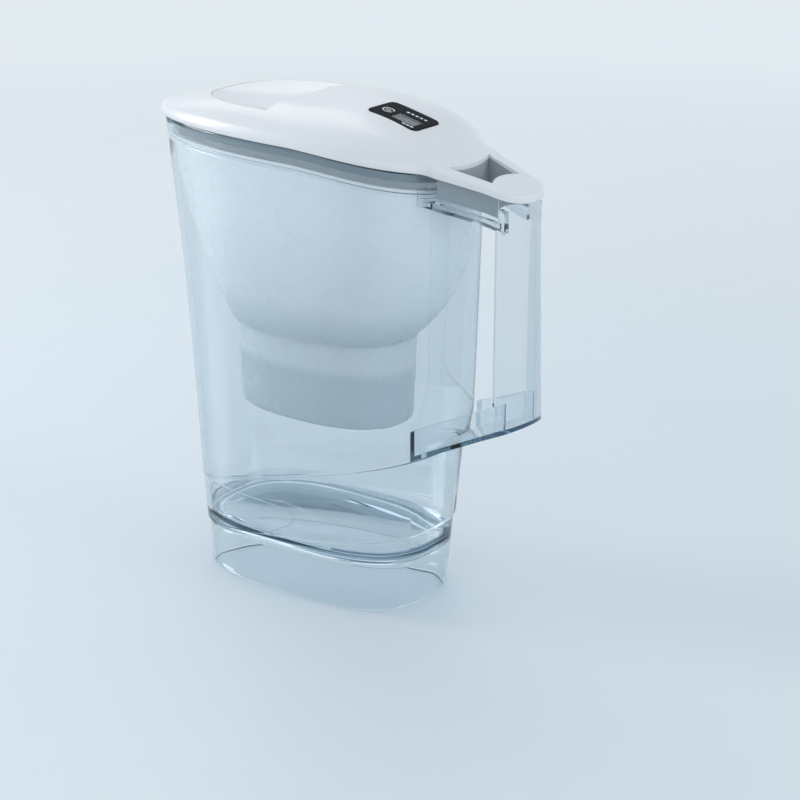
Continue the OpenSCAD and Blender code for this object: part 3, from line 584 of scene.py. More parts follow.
class Solid:
    """A closed mesh being shaped, in millimetres until it is finished."""

    weld = 1e-4         # points closer than this become one, in millimetres
    sliver = 0.004      # faces thinner than this are dissolved at the end, in millimetres

    def __init__(self, points: Sequence[Point], faces: Sequence[Sequence[int]]) -> None:
        """Makes the mesh.

        Args:
            points: Corners in millimetres.
            faces: Corner indices of each face, all facing the same way.
        """
        mesh = bpy.data.meshes.new("work")
        mesh.from_pydata([tuple(float(c) for c in p) for p in points], [], [tuple(f) for f in faces])
        build = bmesh.new()
        build.from_mesh(mesh)
        bmesh.ops.remove_doubles(build, verts=build.verts, dist=self.weld)
        bmesh.ops.recalc_face_normals(build, faces=build.faces)
        build.to_mesh(mesh)
        build.free()
        self.obj = bpy.data.objects.new("work", mesh)
        bpy.context.scene.collection.objects.link(self.obj)

    @classmethod
    def loft(cls, rings: Sequence[Ring]) -> "Solid":
        """Returns the solid through a stack of rings, closed at both ends.

        Args:
            rings: Rings with equal counts of points, from the first end to the last.

        Returns:
            The solid.
        """
        n = len(rings[0])
        points = [p for ring in rings for p in ring]
        faces: list[Sequence[int]] = [list(range(n)), [len(points) - n + i for i in range(n)][::-1]]
        for j in range(len(rings) - 1):
            for i in range(n):
                a, b = j * n + i, j * n + (i + 1) % n
                faces.append((a, a + n, b + n, b))
        return cls(points, faces)

    @classmethod
    def fold(cls, rings: Sequence[Ring]) -> "Solid":
        """Returns the solid through rings whose first and last fold onto a line.

        Args:
            rings: Rings with equal counts of points, from the first end to the last.

        Returns:
            The solid.
        """
        n = len(rings[0])
        points = [p for ring in rings for p in ring]
        faces = []
        for j in range(len(rings) - 1):
            for i in range(n):
                a, b = j * n + i, j * n + (i + 1) % n
                faces.append((a, b, b + n, a + n))
        return cls(points, faces)

    @classmethod
    def prism(cls, plan: Plan, low: float, high: float) -> "Solid":
        """Returns an upright prism over a plan."""
        return cls.loft([[(x, y, low) for x, y in plan], [(x, y, high) for x, y in plan]])

    @classmethod
    def tube(cls, outer: Plan, inner: Plan, low: Callable[[float], float],
             high: Callable[[float], float]) -> "Solid":
        """Returns a standing wall between two outlines with equal counts of points.

        Args:
            outer: Outside of the wall in plan.
            inner: Inside of the wall in plan.
            low: Height of its foot at a place along X.
            high: Height of its top at a place along X.

        Returns:
            The wall.
        """
        n = len(outer)
        rings = [[(x, y, low(x)) for x, y in outer], [(x, y, high(x)) for x, y in outer],
                 [(x, y, high(x)) for x, y in inner], [(x, y, low(x)) for x, y in inner]]
        points = [p for ring in rings for p in ring]
        faces = []
        for j in range(4):
            for i in range(n):
                k, up = (i + 1) % n, (j + 1) % 4
                faces.append((j * n + i, j * n + k, up * n + k, up * n + i))
        return cls(points, faces)

    @classmethod
    def side_prism(cls, profile: Plan, half: float) -> "Solid":
        """Returns a prism along Y over a profile in X and Z."""
        return cls.loft([[(x, -half, z) for x, z in profile], [(x, half, z) for x, z in profile]])

    @classmethod
    def box(cls, low: Point, high: Point) -> "Solid":
        """Returns an upright box."""
        plan = [(low[0], low[1]), (high[0], low[1]), (high[0], high[1]), (low[0], high[1])]
        return cls.prism(plan, low[2], high[2])

    @classmethod
    def cylinder(cls, x: float, z: float, r: float, h: float, r_top: float | None = None,
                 n: int = 128) -> "Solid":
        """Returns an upright cylinder or cone over the middle line.

        Args:
            x: Place of its axis.
            z: Height of its lower end.
            r: Radius of its lower end.
            h: Its height.
            r_top: Radius of its upper end, or None for a cylinder.
            n: Count of its sides.

        Returns:
            The cylinder.
        """
        top = r if r_top is None else r_top
        return cls.loft([[(x + r * c, r * s, z) for c, s in circle(n)],
                         [(x + top * c, top * s, z + h) for c, s in circle(n)]])

    @classmethod
    def pin(cls, x: float, z: float, r: float, ends: Sequence[float], n: int = 48) -> "Solid":
        """Returns a round pin along Y between two ends."""
        return cls.loft([[(x + r * c, y, z + r * s) for c, s in circle(n)] for y in sorted(ends)])

    def combined(self, other: "Solid", op: Op, solver: str) -> bpy.types.Mesh:
        """Works out how this solid combines with another.

        Args:
            other: The other solid.
            op: How the two combine.
            solver: Blender's name of the solver.

        Returns:
            The mesh of the result.
        """
        step = self.obj.modifiers.new("combine", "BOOLEAN")
        step.operation = op.value
        step.object = other.obj
        step.solver = solver
        graph = bpy.context.evaluated_depsgraph_get()
        made = bpy.data.meshes.new_from_object(self.obj.evaluated_get(graph))
        self.obj.modifiers.clear()
        return made

    def combine(self, other: "Solid", op: Op) -> "Solid":
        """Combines with another solid, which is used up.

        The quick solver gives nothing where a mesh isn't watertight, and the exact one follows then.

        Args:
            other: The other solid.
            op: How the two combine.

        Returns:
            This solid.
        """
        made = self.combined(other, op, "MANIFOLD")
        if not made.polygons:
            bpy.data.meshes.remove(made)
            made = self.combined(other, op, "EXACT")
        old, self.obj.data = self.obj.data, made
        bpy.data.meshes.remove(old)
        bpy.data.objects.remove(other.obj)
        return self

    def cut(self, other: "Solid") -> "Solid":
        """Takes another solid away."""
        return self.combine(other, Op.CUT)

    def join(self, other: "Solid") -> "Solid":
        """Adds another solid."""
        return self.combine(other, Op.JOIN)

    def keep(self, other: "Solid") -> "Solid":
        """Keeps only what lies inside another solid."""
        return self.combine(other, Op.KEEP)

    def finish(self, name: str, material: Finish, body: str, replaces: Iterable[str] = (),
               slot: str | None = None, sharp: float = 35.0) -> Piece:
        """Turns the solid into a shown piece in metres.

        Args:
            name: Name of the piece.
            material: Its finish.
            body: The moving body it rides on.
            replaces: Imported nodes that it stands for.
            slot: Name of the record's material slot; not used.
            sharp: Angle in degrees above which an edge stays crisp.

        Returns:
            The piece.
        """
        mesh = self.obj.data
        build = bmesh.new()
        build.from_mesh(mesh)
        bmesh.ops.dissolve_degenerate(build, dist=self.sliver, edges=build.edges)
        bmesh.ops.scale(build, vec=(MM, MM, MM), verts=build.verts)
        build.to_mesh(mesh)
        build.free()
        self.obj.name = name
        mesh.name = name
        mesh.materials.clear()
        mesh.materials.append(material)
        mesh.shade_smooth()
        mesh.set_sharp_from_angle(angle=math.radians(sharp))
        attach(self.obj, body)
        if replaces:
            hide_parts(*replaces)
        log.info("built %s on %s: %d faces", name, body, len(mesh.polygons))
        return self.obj


def dress(node: str, material: Finish, sharp: float = 28.0) -> None:
    """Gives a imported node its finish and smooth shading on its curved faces.

    Args:
        node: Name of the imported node.
        material: Its finish.
        sharp: Angle in degrees above which an edge stays crisp.
    """
    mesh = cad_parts[node].data
    mesh.materials.clear()
    mesh.materials.append(material)
    mesh.shade_smooth()
    mesh.set_sharp_from_angle(angle=math.radians(sharp))
    log.info("dressed %s in %s", node, material.name)


# ---------------------------------------- finishes

class Nodes:
    """A tree of shader nodes, built call by call."""

    def __init__(self, tree: bpy.types.NodeTree, output: str) -> None:
        """Empties the tree and gives it an output node.

        Args:
            tree: The tree.
            output: Blender's name of the output node's type.
        """
        self.tree = tree
        self.tree.nodes.clear()
        self.output = self.tree.nodes.new(output)

    def node(self, kind: str, inputs: dict | None = None, **settings: str | int) -> bpy.types.Node:
        """Adds a node.

        Args:
            kind: Blender's name of the node type, without its prefix.
            inputs: Socket names or numbers with the values or sockets they take.
            **settings: Properties of the node.

        Returns:
            The node.
        """
        made = self.tree.nodes.new("ShaderNode" + kind)
        for key, value in settings.items():
            setattr(made, key, value)
        for key, value in (inputs or {}).items():
            socket = made.inputs[key]
            if isinstance(value, Socket):
                self.tree.links.new(value, socket)
            else:
                socket.default_value = value
        return made

    def link(self, source: Socket, target: Socket) -> None:
        """Joins two sockets."""
        self.tree.links.new(source, target)


class Graph(Nodes):
    """A material's node tree with the recipes that the finishes share."""

    def __init__(self, name: str) -> None:
        """Starts a new material with an empty tree.

        Args:
            name: Name of the material.
        """
        self.material = bpy.data.materials.new(name)
        self.material.use_nodes = True
        super().__init__(self.material.node_tree, "ShaderNodeOutputMaterial")

    def place(self) -> Socket:
        """Returns the place on the piece, in metres."""
        return self.node("TexCoord").outputs["Object"]

    def noise(self, scale: float, detail: float = 3.0, stretch: Point = (1, 1, 1)) -> Socket:
        """Returns the value of a noise over the piece's own place.

        Args:
            scale: Its cells per metre.
            detail: How many finer layers it has.
            stretch: Scale along each axis.

        Returns:
            The value from 0 to 1.
        """
        spread = self.node("Mapping", {"Vector": self.place(), "Scale": stretch})
        made = self.node("TexNoise", {"Vector": spread.outputs[0], "Scale": scale, "Detail": detail})
        return made.outputs["Fac"]

    def span(self, value: Socket, low: float, high: float, start: float = 0.3,
             stop: float = 0.7) -> Socket:
        """Spreads a value from one range to another.

        Args:
            value: The value.
            low: Result where the value is at the start.
            high: Result where the value is at the stop.
            start: Start of the value's range.
            stop: Stop of the value's range.

        Returns:
            The result, held between low and high.
        """
        made = self.node("MapRange", {"Value": value, "From Min": start, "From Max": stop,
                                      "To Min": low, "To Max": high})
        return made.outputs["Result"]

    def tint(self, value: Socket, first: Colour, second: Colour) -> Socket:
        """Returns a colour between two by a value from 0 to 1."""
        made = self.node("Mix", {"Factor": value, 6: (*first, 1), 7: (*second, 1)}, data_type="RGBA")
        return made.outputs[2]

    def blend(self, share: float | Socket, first: bpy.types.Node,
              second: bpy.types.Node) -> bpy.types.Node:
        """Returns a mix of two shaders by the share of the second."""
        return self.node("MixShader", {0: share, 1: first.outputs[0], 2: second.outputs[0]})

    def bump(self, height: Socket, strength: float, distance: float,
             edge: float = 0.0) -> Socket:
        """Gives a surface a fine relief.

        Args:
            height: The relief's height from 0 to 1.
            strength: How much of it shows.
            distance: Its depth in metres.
            edge: Radius in metres that crisp edges look rounded by, or 0.

        Returns:
            The normal.
        """
        inputs = {"Height": height, "Strength": strength, "Distance": distance}
        if edge:
            inputs["Normal"] = self.node("Bevel", {"Radius": edge}, samples=4).outputs[0]
        return self.node("Bump", inputs).outputs[0]

    def close(self, shader: bpy.types.Node) -> Finish:
        """Ends the tree with a surface shader and returns the material."""
        self.link(shader.outputs[0], self.output.inputs["Surface"])
        return self.material


@dataclass(frozen=True)
class ClearPlastic:
    """Glass clear moulded plastic with a cool tint that gathers in its edges."""

    name: str
    tint: Colour = (0.52, 0.65, 0.72)
    density: float = 76.0
    skin: Colour = (0.935, 0.955, 0.967)
    roughness: float = 0.012
    shade: Colour = (0.985, 0.992, 0.996)       # what its shadow takes out of the light

    def make(self) -> Finish:
        """Returns the material."""
        g = Graph(self.name)
        waves = g.bump(g.noise(scale=14, detail=2), strength=0.06, distance=0.0006)
        rough = g.span(g.noise(scale=55, detail=5), self.roughness, self.roughness + 0.035,
                       start=0.45, stop=0.8)
        body = g.node("BsdfPrincipled", {
            "Base Color": (*self.skin, 1), "Roughness": rough, "IOR": PLASTIC_IOR,
            "Transmission Weight": 1.0, "Normal": waves})
        through = g.node("BsdfTransparent", {"Color": (*self.shade, 1)})
        path = g.node("LightPath")
        soft = g.node("Math", {0: path.outputs["Is Shadow Ray"], 1: path.outputs["Is Diffuse Ray"]},
                      operation="MAXIMUM")
        inside = g.node("VolumeAbsorption", {"Color": (*self.tint, 1), "Density": self.density})
        g.link(inside.outputs[0], g.output.inputs["Volume"])
        return g.close(g.blend(soft.outputs[0], body, through))


@dataclass(frozen=True)
class FrostedPlastic:
    """Milky plastic that lets a little of what lies behind it through, with painted shade in its colour
    towards the pocket and near the bowl's bottom.
    """

    name: str
    colour: Colour = (0.955, 0.97, 0.98)
    painted_shade: Colour = (0.60, 0.665, 0.71)          # painted shade: the colour low in the pocket, with the cartridge behind it
    low_z: float = 0.103                        # heights in metres that the painted shade runs between
    high_z: float = 0.223
    # painted shade bands: place on the height ramp, share of the way from the painted shade to the plain
    # colour
    painted_shade_stops: Table = ((0.24, 0.0), (0.28, 0.42), (0.385, 0.42), (0.42, 0.08), (0.60, 0.74))
    cloud: float = 0.006                        # how far the bands of painted shade wander up and down, in metres
    clear: float = 0.13
    clear_tint: Colour = (0.90, 0.95, 0.98)
    clear_ior: float = 1.12
    clear_roughness: float = 0.30
    roughness: tuple[float, float] = (0.22, 0.34)
    glow: float = 0.12
    shadow: float = 0.62                        # share of the light that passes as shadow rays
    shadow_tint: Colour = (0.90, 0.94, 0.97)

    def tone(self, g: Graph) -> Socket:
        """Returns the colour, darker towards the pocket and in a band just above the bowl's bottom:
        painted shade that changes with height.

        Args:
            g: The tree that it is made in.

        Returns:
            The colour.
        """
        height = g.node("SeparateXYZ", {0: g.place()}).outputs["Z"]
        lift = g.node("Math", {0: g.noise(scale=9, detail=3), 1: self.cloud, 2: height},
                      operation="MULTIPLY_ADD")
        # ramp over height from painted shade low down to the plain milky colour high up
        shade = g.node("ValToRGB", {"Fac": g.span(lift.outputs[0], 0, 1, self.low_z, self.high_z)})
        stops = shade.color_ramp.elements
        stops[0].color, stops[1].color = (*self.painted_shade, 1), (*self.colour, 1)
        for position, share in self.painted_shade_stops:
            stops.new(position).color = (*(mix(a, b, share) for a, b in zip(self.painted_shade, self.colour)), 1)
        return shade.outputs[0]

    def make(self) -> Finish:
        """Returns the material."""
        g = Graph(self.name)
        tone = self.tone(g)
        milk = g.node("BsdfPrincipled", {
            "Base Color": tone, "Roughness": g.span(g.noise(scale=60, detail=4), *self.roughness),
            "IOR": PLASTIC_IOR, "Coat Weight": 0.15, "Coat Roughness": 0.1,
            "Normal": g.bump(g.noise(scale=160, detail=2), strength=0.03, distance=0.0002, edge=0.0005)})
        glow = g.node("BsdfTranslucent", {"Color": tone})
        haze = g.node("BsdfPrincipled", {
            "Base Color": (*self.clear_tint, 1), "Roughness": self.clear_roughness,
            "IOR": self.clear_ior, "Transmission Weight": 1.0})
        both = g.blend(self.clear, g.blend(self.glow, milk, glow), haze)
        path = g.node("LightPath")
        dim = g.node("Math", {0: path.outputs["Is Shadow Ray"], 1: self.shadow}, operation="MULTIPLY")
        through = g.node("BsdfTransparent", {"Color": (*self.shadow_tint, 1)})
        return g.close(g.blend(dim.outputs[0], both, through))


@dataclass(frozen=True)
class SolidPlastic:
    """Opaque moulded plastic with softly rounded edges and a faint grain."""

    name: str
    colour: Colour
    roughness: float = 0.25
    spread: float = 0.06
    coat: float = 0.0
    grain: float = 260.0
    relief: float = 0.05
    edge: float = 0.0006
    shine: float = 0.5
    wear: float = 0.965                         # how much darker the worn patches are

    def make(self) -> Finish:
        """Returns the material."""
        g = Graph(self.name)
        dark = tuple(c * self.wear for c in self.colour)
        tone = g.tint(g.span(g.noise(scale=24, detail=4), 0, 1), self.colour, dark)
        rough = g.span(g.noise(scale=46, detail=6), self.roughness - self.spread,
                       self.roughness + self.spread)
        normal = g.bump(g.noise(self.grain, detail=3), self.relief, distance=0.0002, edge=self.edge)
        return g.close(g.node("BsdfPrincipled", {
            "Base Color": tone, "Roughness": rough, "IOR": PLASTIC_IOR, "Normal": normal,
            "Specular IOR Level": self.shine, "Coat Weight": self.coat, "Coat Roughness": 0.08}))


@dataclass(frozen=True)
class Metal:
    """Plated metal with fine brushing."""

    name: str
    colour: Colour
    roughness: float = 0.25

    def make(self) -> Finish:
        """Returns the material."""
        g = Graph(self.name)
        lines = g.noise(scale=900, detail=2, stretch=(1, 0.05, 1))
        return g.close(g.node("BsdfPrincipled", {
            "Base Color": (*self.colour, 1), "Metallic": 1.0,
            "Roughness": g.span(lines, self.roughness - 0.08, self.roughness + 0.1),
            "Normal": g.bump(lines, strength=0.1, distance=0.00005, edge=0.0002)}))


@dataclass(frozen=True)
class Grains:
    """Packed dark and light grains of a filter bed."""

    name: str
    dark: Colour = (0.03, 0.03, 0.03)
    light: Colour = (0.45, 0.40, 0.30)
    dark_share: float = 0.35

    def make(self) -> Finish:
        """Returns the material."""
        g = Graph(self.name)
        cells = g.node("TexVoronoi", {"Vector": g.place(), "Scale": 900.0})
        pick = g.node("ValToRGB", {"Fac": cells.outputs["Color"]})
        stops = pick.color_ramp.elements
        stops[0].color, stops[1].color = (*self.dark, 1), (*self.light, 1)
        stops[0].position = self.dark_share
        return g.close(g.node("BsdfPrincipled", {
            "Base Color": pick.outputs[0], "Roughness": 0.85,
            "Normal": g.bump(cells.outputs["Distance"], strength=0.8, distance=0.0006)}))


@dataclass(frozen=True)
class WovenMesh:
    """Fine woven filter cloth with open cells."""

    name: str
    cell: Colour = (0.45, 0.46, 0.47)
    thread: Colour = (0.86, 0.87, 0.86)

    def make(self) -> Finish:
        """Returns the material."""
        g = Graph(self.name)
        place = g.place()
        threads = [g.node("TexWave", {"Vector": place, "Scale": 220.0}, wave_type="BANDS",
                          bands_direction=axis).outputs["Fac"] for axis in ("X", "Y")]
        weave = g.node("Math", {0: threads[0], 1: threads[1]}, operation="MAXIMUM").outputs[0]
        return g.close(g.node("BsdfPrincipled", {
            "Base Color": g.tint(weave, self.cell, self.thread), "Roughness": 0.6,
            "Normal": g.bump(weave, strength=0.7, distance=0.0003)}))


@dataclass(frozen=True)
class DisplayGlass:
    """Face of a liquid crystal display, grey green with a soft sheen."""

    name: str
    first: Colour = (0.026, 0.034, 0.037)
    second: Colour = (0.036, 0.046, 0.050)

    def make(self) -> Finish:
        """Returns the material."""
        g = Graph(self.name)
        tone = g.tint(g.span(g.noise(scale=120), 0, 1), self.first, self.second)
        return g.close(g.node("BsdfPrincipled", {
            "Base Color": tone, "Roughness": g.span(g.noise(scale=80), 0.2, 0.35)}))


@dataclass(frozen=True)
class Board:
    """Circuit board with printed tracks."""

    name: str
    first: Colour = (0.02, 0.20, 0.09)
    second: Colour = (0.03, 0.24, 0.11)
    track: Colour = (0.05, 0.34, 0.16)

    def make(self) -> Finish:
        """Returns the material."""
        g = Graph(self.name)
        tracks = g.node("TexBrick", {"Vector": g.place(), "Scale": 420.0,
                                     "Color1": (*self.first, 1), "Color2": (*self.second, 1),
                                     "Mortar": (*self.track, 1), "Mortar Size": 0.03})
        return g.close(g.node("BsdfPrincipled", {
            "Base Color": tracks.outputs[0], "Roughness": 0.4,
            "Normal": g.bump(tracks.outputs["Fac"], strength=0.3, distance=0.00005)}))


def recipe(finish: type, *values: object, **named: object) -> Finish:
    """Returns a field that makes a finish's material when the pitcher is built."""
    return field(default_factory=lambda: finish(*values, **named).make())


@dataclass
class Finishes:
    """Every finish of the pitcher, made once."""

    clear: Finish = recipe(ClearPlastic, "clear_plastic")
    frosted: Finish = recipe(FrostedPlastic, "frosted_plastic")
    white: Finish = recipe(
        SolidPlastic, "white_plastic", (0.725, 0.735, 0.76), roughness=0.30, spread=0.02, coat=0.10,
        grain=40.0, relief=0.02)
    # painted shade: these two colour the moulding under the lid grey and dark blue-grey for the shade it
    # lies in
    slate: Finish = recipe(SolidPlastic, "grey_plastic", (0.33, 0.37, 0.40), roughness=0.34)
    dark: Finish = recipe(SolidPlastic, "slate_plastic", (0.19, 0.25, 0.285), roughness=0.36)
    cartridge: Finish = recipe(SolidPlastic, "cartridge_plastic", (0.56, 0.62, 0.69), roughness=0.35)
    cloth: Finish = recipe(WovenMesh, "filter_cloth")
    grains: Finish = recipe(Grains, "filter_grains")
    black: Finish = recipe(
        SolidPlastic, "black_gloss", (0.005, 0.005, 0.006), roughness=0.18, spread=0.04, grain=200.0,
        relief=0.02, edge=0.0005, shine=0.05)
    key: Finish = recipe(
        SolidPlastic, "black_key", (0.014, 0.014, 0.016), roughness=0.3, grain=300.0, edge=0.0003,
        shine=0.12)
    window: Finish = recipe(
        ClearPlastic, "window_plastic", tint=(0.8, 0.85, 0.85), density=5.0, skin=(0.98, 0.99, 0.99),
        roughness=0.02)
    display: Finish = recipe(DisplayGlass, "display_glass")
    print_white: Finish = recipe(
        SolidPlastic, "pale_print", (0.80, 0.82, 0.84), roughness=0.4, spread=0.05, grain=400.0,
        relief=0.03, edge=0.00005)
    print_dark: Finish = recipe(
        SolidPlastic, "dark_print", (0.035, 0.045, 0.045), roughness=0.35, spread=0.05, grain=400.0,
        relief=0.03, edge=0.00005)
    rubber: Finish = recipe(
        SolidPlastic, "black_rubber", (0.04, 0.04, 0.042), roughness=0.6, spread=0.08, grain=700.0,
        relief=0.15, edge=0.0003)
    strip: Finish = recipe(SolidPlastic, "pink_rubber", (0.60, 0.28, 0.36), roughness=0.55, spread=0.05)
    case: Finish = recipe(SolidPlastic, "grey_case", (0.62, 0.64, 0.67), roughness=0.4, spread=0.05)
    board: Finish = recipe(Board, "board")
    steel: Finish = recipe(Metal, "cell_steel", (0.72, 0.72, 0.74))
    brass: Finish = recipe(Metal, "clip_brass", (0.78, 0.60, 0.28))


# ---------------------------------------- cutting shapes

SIDE = 80.0         # half the width of a cutting shape, wider than the pitcher
PAST = 20.0         # how far it runs past nose and tail
LOW, HIGH = 40.0, 280.0         # heights that take in grip and bridges
BELOW, ABOVE = 200.0, 300.0     # heights that take in the lid


def edge_band(low: float, high: float) -> Solid:
    """Returns everything between two curves that follow the lid's edge.

    Args:
        low: Distance of the lower curve above the edge.
        high: Distance of the upper curve above the edge.

    Returns:
        The band.
    """
    n = 120
    xs = [FORM.nose_x - PAST + (FORM.lid_len + 2 * PAST) * i / n for i in range(n + 1)]
    profile = ([(x, FORM.edge_z(x) + low) for x in xs]
               + [(x, FORM.edge_z(x) + high) for x in reversed(xs)])
    return Solid.side_prism(profile, SIDE)


def arm_column(inset: float, x0: float, x1: float) -> Solid:
    """Returns a column over the plan of the lid.

    Args:
        inset: Distance its sides are drawn in.
        x0: Its start along X.
        x1: Its end along X.

    Returns:
        The column.
    """
    column = Solid.prism(FORM.lid_plan(inset), LOW + PAST, FORM.rim_z)
    return column.keep(Solid.box((x0, -SIDE, LOW), (x1, SIDE, HIGH)))


def bridge_slab(low: float, high: float, x0: float, x1: float) -> Solid:
    """Returns everything between two lines along the lower bridge.

    Args:
        low: Distance of the lower line above the bridge's underside.
        high: Distance of the upper line above it.
        x0: Start along X.
        x1: End along X.

    Returns:
        The slab.
    """
    profile = [(x0, FORM.bridge_low(x0) + low), (x1, FORM.bridge_low(x1) + low),
               (x1, FORM.bridge_low(x1) + high), (x0, FORM.bridge_low(x0) + high)]
    return Solid.side_prism(profile, SIDE)


# ---------------------------------------- tank

@dataclass
class Tank:
    """The clear tank with its stand, pouring lip, bridges and channel grip."""

    finishes: Finishes
    points: int = 192
    rim_fade: float = 62.0              # below the rim, where the rings become level again
    stand_play: float = 1.0             # the wall of the stand is this much thicker than the tank's
    spout_in: float = 14.2              # from the nose to the axis of the pouring lip
    spout_deep: float = 24.0
    spout_floor: float = 2.0
    spout_r: float = 3.25
    spout_top_r: float = 12.6
    channel_r: float = 2.7
    channel_top_r: float = 10.8
    arm_inset: float = 0.8              # rails and bridge stand this far inside the lid's arms
    grip_first: float = 70.0            # height of the grip's lowest ring over its foot
    grip_pitch: float = 8.0
    grip_rings: int = 22
    grip_top: float = 4.0
    grip_over: float = 3.0              # its hollow runs this far past both ends
    grip_lead: float = 8.0
    bridge_start: float = 1.5
    bridge_lead: float = 30.0
    rail_start: float = 8.0
    rail_lip: float = 4.0
    lap: float = 0.5                    # rails and bridge run this far into the grip
    post: float = 4.4                   # side of a corner post
    post_inset: float = 0.4
    post_start: float = 0.2
    post_len: float = 5.0
    post_drop: float = 6.0
    ledge_out: float = 0.7
    ledge_in: float = 1.5
    ledge_low: float = 3.9              # ledge that the funnel's lip rests over
    ledge_high: float = 1.9
    crease: Table = (                   # height about the waist, share of the step
        (-4, 1), (-1.2, 1), (-0.5, 0.93), (0, 0.78), (0.4, 0.5), (0.8, 0.22), (1.3, 0.05), (2, 0))
    stand_levels: tuple[float, ...] = (8, 18, 28)
    step: Table = (                     # height over the stand, share of the step
        (3.6, 1), (4.1, 0.85), (4.7, 0.4), (5.2, 0.1), (5.8, 0))
    # heights and insets of the rings that round an edge
    stand_roof: Table = ((0, 5), (-0.6, 2.8), (-2, 1.1), (-5, 0))
    stand_edge: Table = ((0.6, 0), (0.1, -0.15), (0, -0.5))
    foot_edge: Table = ((0, 1.6), (0.25, 0.95), (0.8, 0.4), (2, 0))
    floor_round: Table = ((0, 5), (0.5, 2.4), (1.6, 1), (4.5, 0))
    rim_outer: Table = ((0.8, 0), (0.25, 0.22), (0, 0.8), (0, 9))
    rim_inner: Table = ((0.8, 0), (0.25, 0.22), (-0.05, 0.8), (-6, 0.9))
    low_levels: tuple[float, ...] = (44, 50, 56, 61)
    high_levels: tuple[float, ...] = (80, 90, 100, 112, 125, 140, 155, 170, 185)
    rim_shares: tuple[float, ...] = (0, 0.2, 0.4, 0.6, 0.8, 0.93)
    panel_plan: Table = (
        (-72, 37.5), (-74, 46), (-70, 52.5), (-62, 54), (-34, 54), (-18, 53.4), (-10, 51.6), (-6, 49),
        (-8, 45), (-16, 39.5), (-22, 36.8), (-40, 36.2), (-60, 36.4))
    panel_bead: float = 0.28
    panel_inset: float = 0.02
    panel_steps: int = 8
    panel_samples: int = 720
    crisp: float = 32.0

    def top_ring(self, drop: float, inset: float, share: float = 1.0) -> Ring:
        """Returns a ring near the rim that follows the lid's edge.

        Args:
            drop: Distance below the rim.
            inset: Distance drawn in from the outside.
            share: 1 at the rim and 0 where the rings are level.

        Returns:
            The ring.
        """
        low_z = FORM.rim_z - self.rim_fade
        plan = FORM.tank_outline(FORM.rim_z, inset, 0, self.points)
        under = FORM.tank_outline(low_z, inset, 0, self.points)
        ring = []
        for (xa, ya), (xb, yb) in zip(under, plan):
            z = mix(low_z, FORM.edge_z(xb) - FORM.gap - drop, share)
            t = (z - low_z) / self.rim_fade
            ring.append((mix(xa, xb, t), mix(ya, yb, t), z))
        return ring

    def level_rings(self, levels: Sequence[tuple[float, float]]) -> list[Ring]:
        """Returns level rings of the foot from pairs of height and inset."""
        return [[(x, y, z) for x, y in FORM.tank_outline(z, inset, 1, self.points)]
                for z, inset in levels]

    def walls(self, inset: float) -> list[Ring]:
        """Returns the rings of the tank's wall between its floor and its rim.

        Args:
            inset: Distance drawn in from the outside.

        Returns:
            The rings, from low to high.
        """
        n, f = self.points, FORM
        rings = [f.tank_ring(z, inset, 1, n) for z in self.low_levels]
        rings += [f.tank_ring(f.waist_z + z, inset, low, n) for z, low in self.crease]
        rings += [f.tank_ring(z, inset, 0, n) for z in self.high_levels]
        return rings + [self.top_ring(0, inset, share) for share in self.rim_shares]

    def outside(self) -> Solid:
        """Returns the tank's outer form with its stand hollowed from below."""
        f, n, edge = FORM, self.points, FORM.stand_step
        hollow = edge + f.wall + self.stand_play
        rings = self.level_rings([(f.stand_h + z, hollow + turn) for z, turn in self.stand_roof]
                                 + [(z, hollow + turn) for z, turn in self.stand_edge]
                                 + [(z, edge + turn) for z, turn in self.foot_edge])
        rings += [f.tank_ring(z, edge, 1, n) for z in self.stand_levels]
        rings += [f.tank_ring(f.stand_h + z, edge * share, 1, n) for z, share in self.step]
        rings += self.walls(0)
        rings += [self.top_ring(drop, inset) for drop, inset in self.rim_outer]
        return Solid.loft(rings)

    def inside(self) -> Solid:
        """Returns the space inside the tank."""
        f, wall = FORM, FORM.wall
        base = f.stand_h + f.floor_t
        rings = self.level_rings([(base + z, wall + turn) for z, turn in self.floor_round])
        rings += self.walls(wall)
        rings += [self.top_ring(drop, wall - turn) for drop, turn in self.rim_inner]
        return Solid.loft(rings)

    def grip(self) -> Solid:
        """Returns the channel grip with its foot."""
        f = FORM
        heights = [self.grip_first + self.grip_pitch * i for i in range(self.grip_rings)]
        low, top = heights[0] - self.grip_over, f.rim_z - self.grip_top
        x0, x1 = f.grip_edge - self.grip_lead, f.tail_x + PAST
        solid = Solid.loft([f.grip_ring(z, 0) for z in (*heights, top)])
        hollow = Solid.loft([f.grip_ring(z, f.grip_wall) for z in (low, *heights, top + self.grip_over)])
        hollow.cut(bridge_slab(-SIDE, f.grip_wall, x0, x1))
        solid.cut(hollow)
        solid.cut(bridge_slab(-SIDE, 0, x0, x1))
        return solid.cut(edge_band(-f.gap, 3 * PAST))

    def rails(self) -> Solid:
        """Returns the rails that join tank and grip under the lid's arms."""
        f = FORM
        x0, x1 = f.rim_back - self.rail_start, f.grip_edge + self.lap
        solid = arm_column(self.arm_inset, x0, x1)
        inner = arm_column(self.arm_inset + f.grip_wall, x0 - 1, x1 + 1)
        inner.keep(edge_band(-f.rail_h + f.grip_wall, 2))
        solid.cut(inner)
        solid.cut(arm_column(self.arm_inset + f.grip_wall + self.rail_lip, x0 - 1, x1 + 1))
        return solid.keep(edge_band(-f.rail_h, -f.gap))

    def bridge(self) -> Solid:
        """Returns the lower bridge between tank and grip."""
        f, start = FORM, self.bridge_start
        x1, lead = f.grip_edge + self.lap, f.bridge_x - self.bridge_lead
        solid = arm_column(self.arm_inset, f.bridge_x - start, x1)
        solid.keep(bridge_slab(0, f.bridge_h, lead, f.tail_x))
        inner = arm_column(self.arm_inset + f.grip_wall, f.bridge_x - 2 * start, x1 + 1)
        inner.keep(bridge_slab(f.grip_wall, f.bridge_h + 2, lead, f.tail_x))
        return solid.cut(inner)

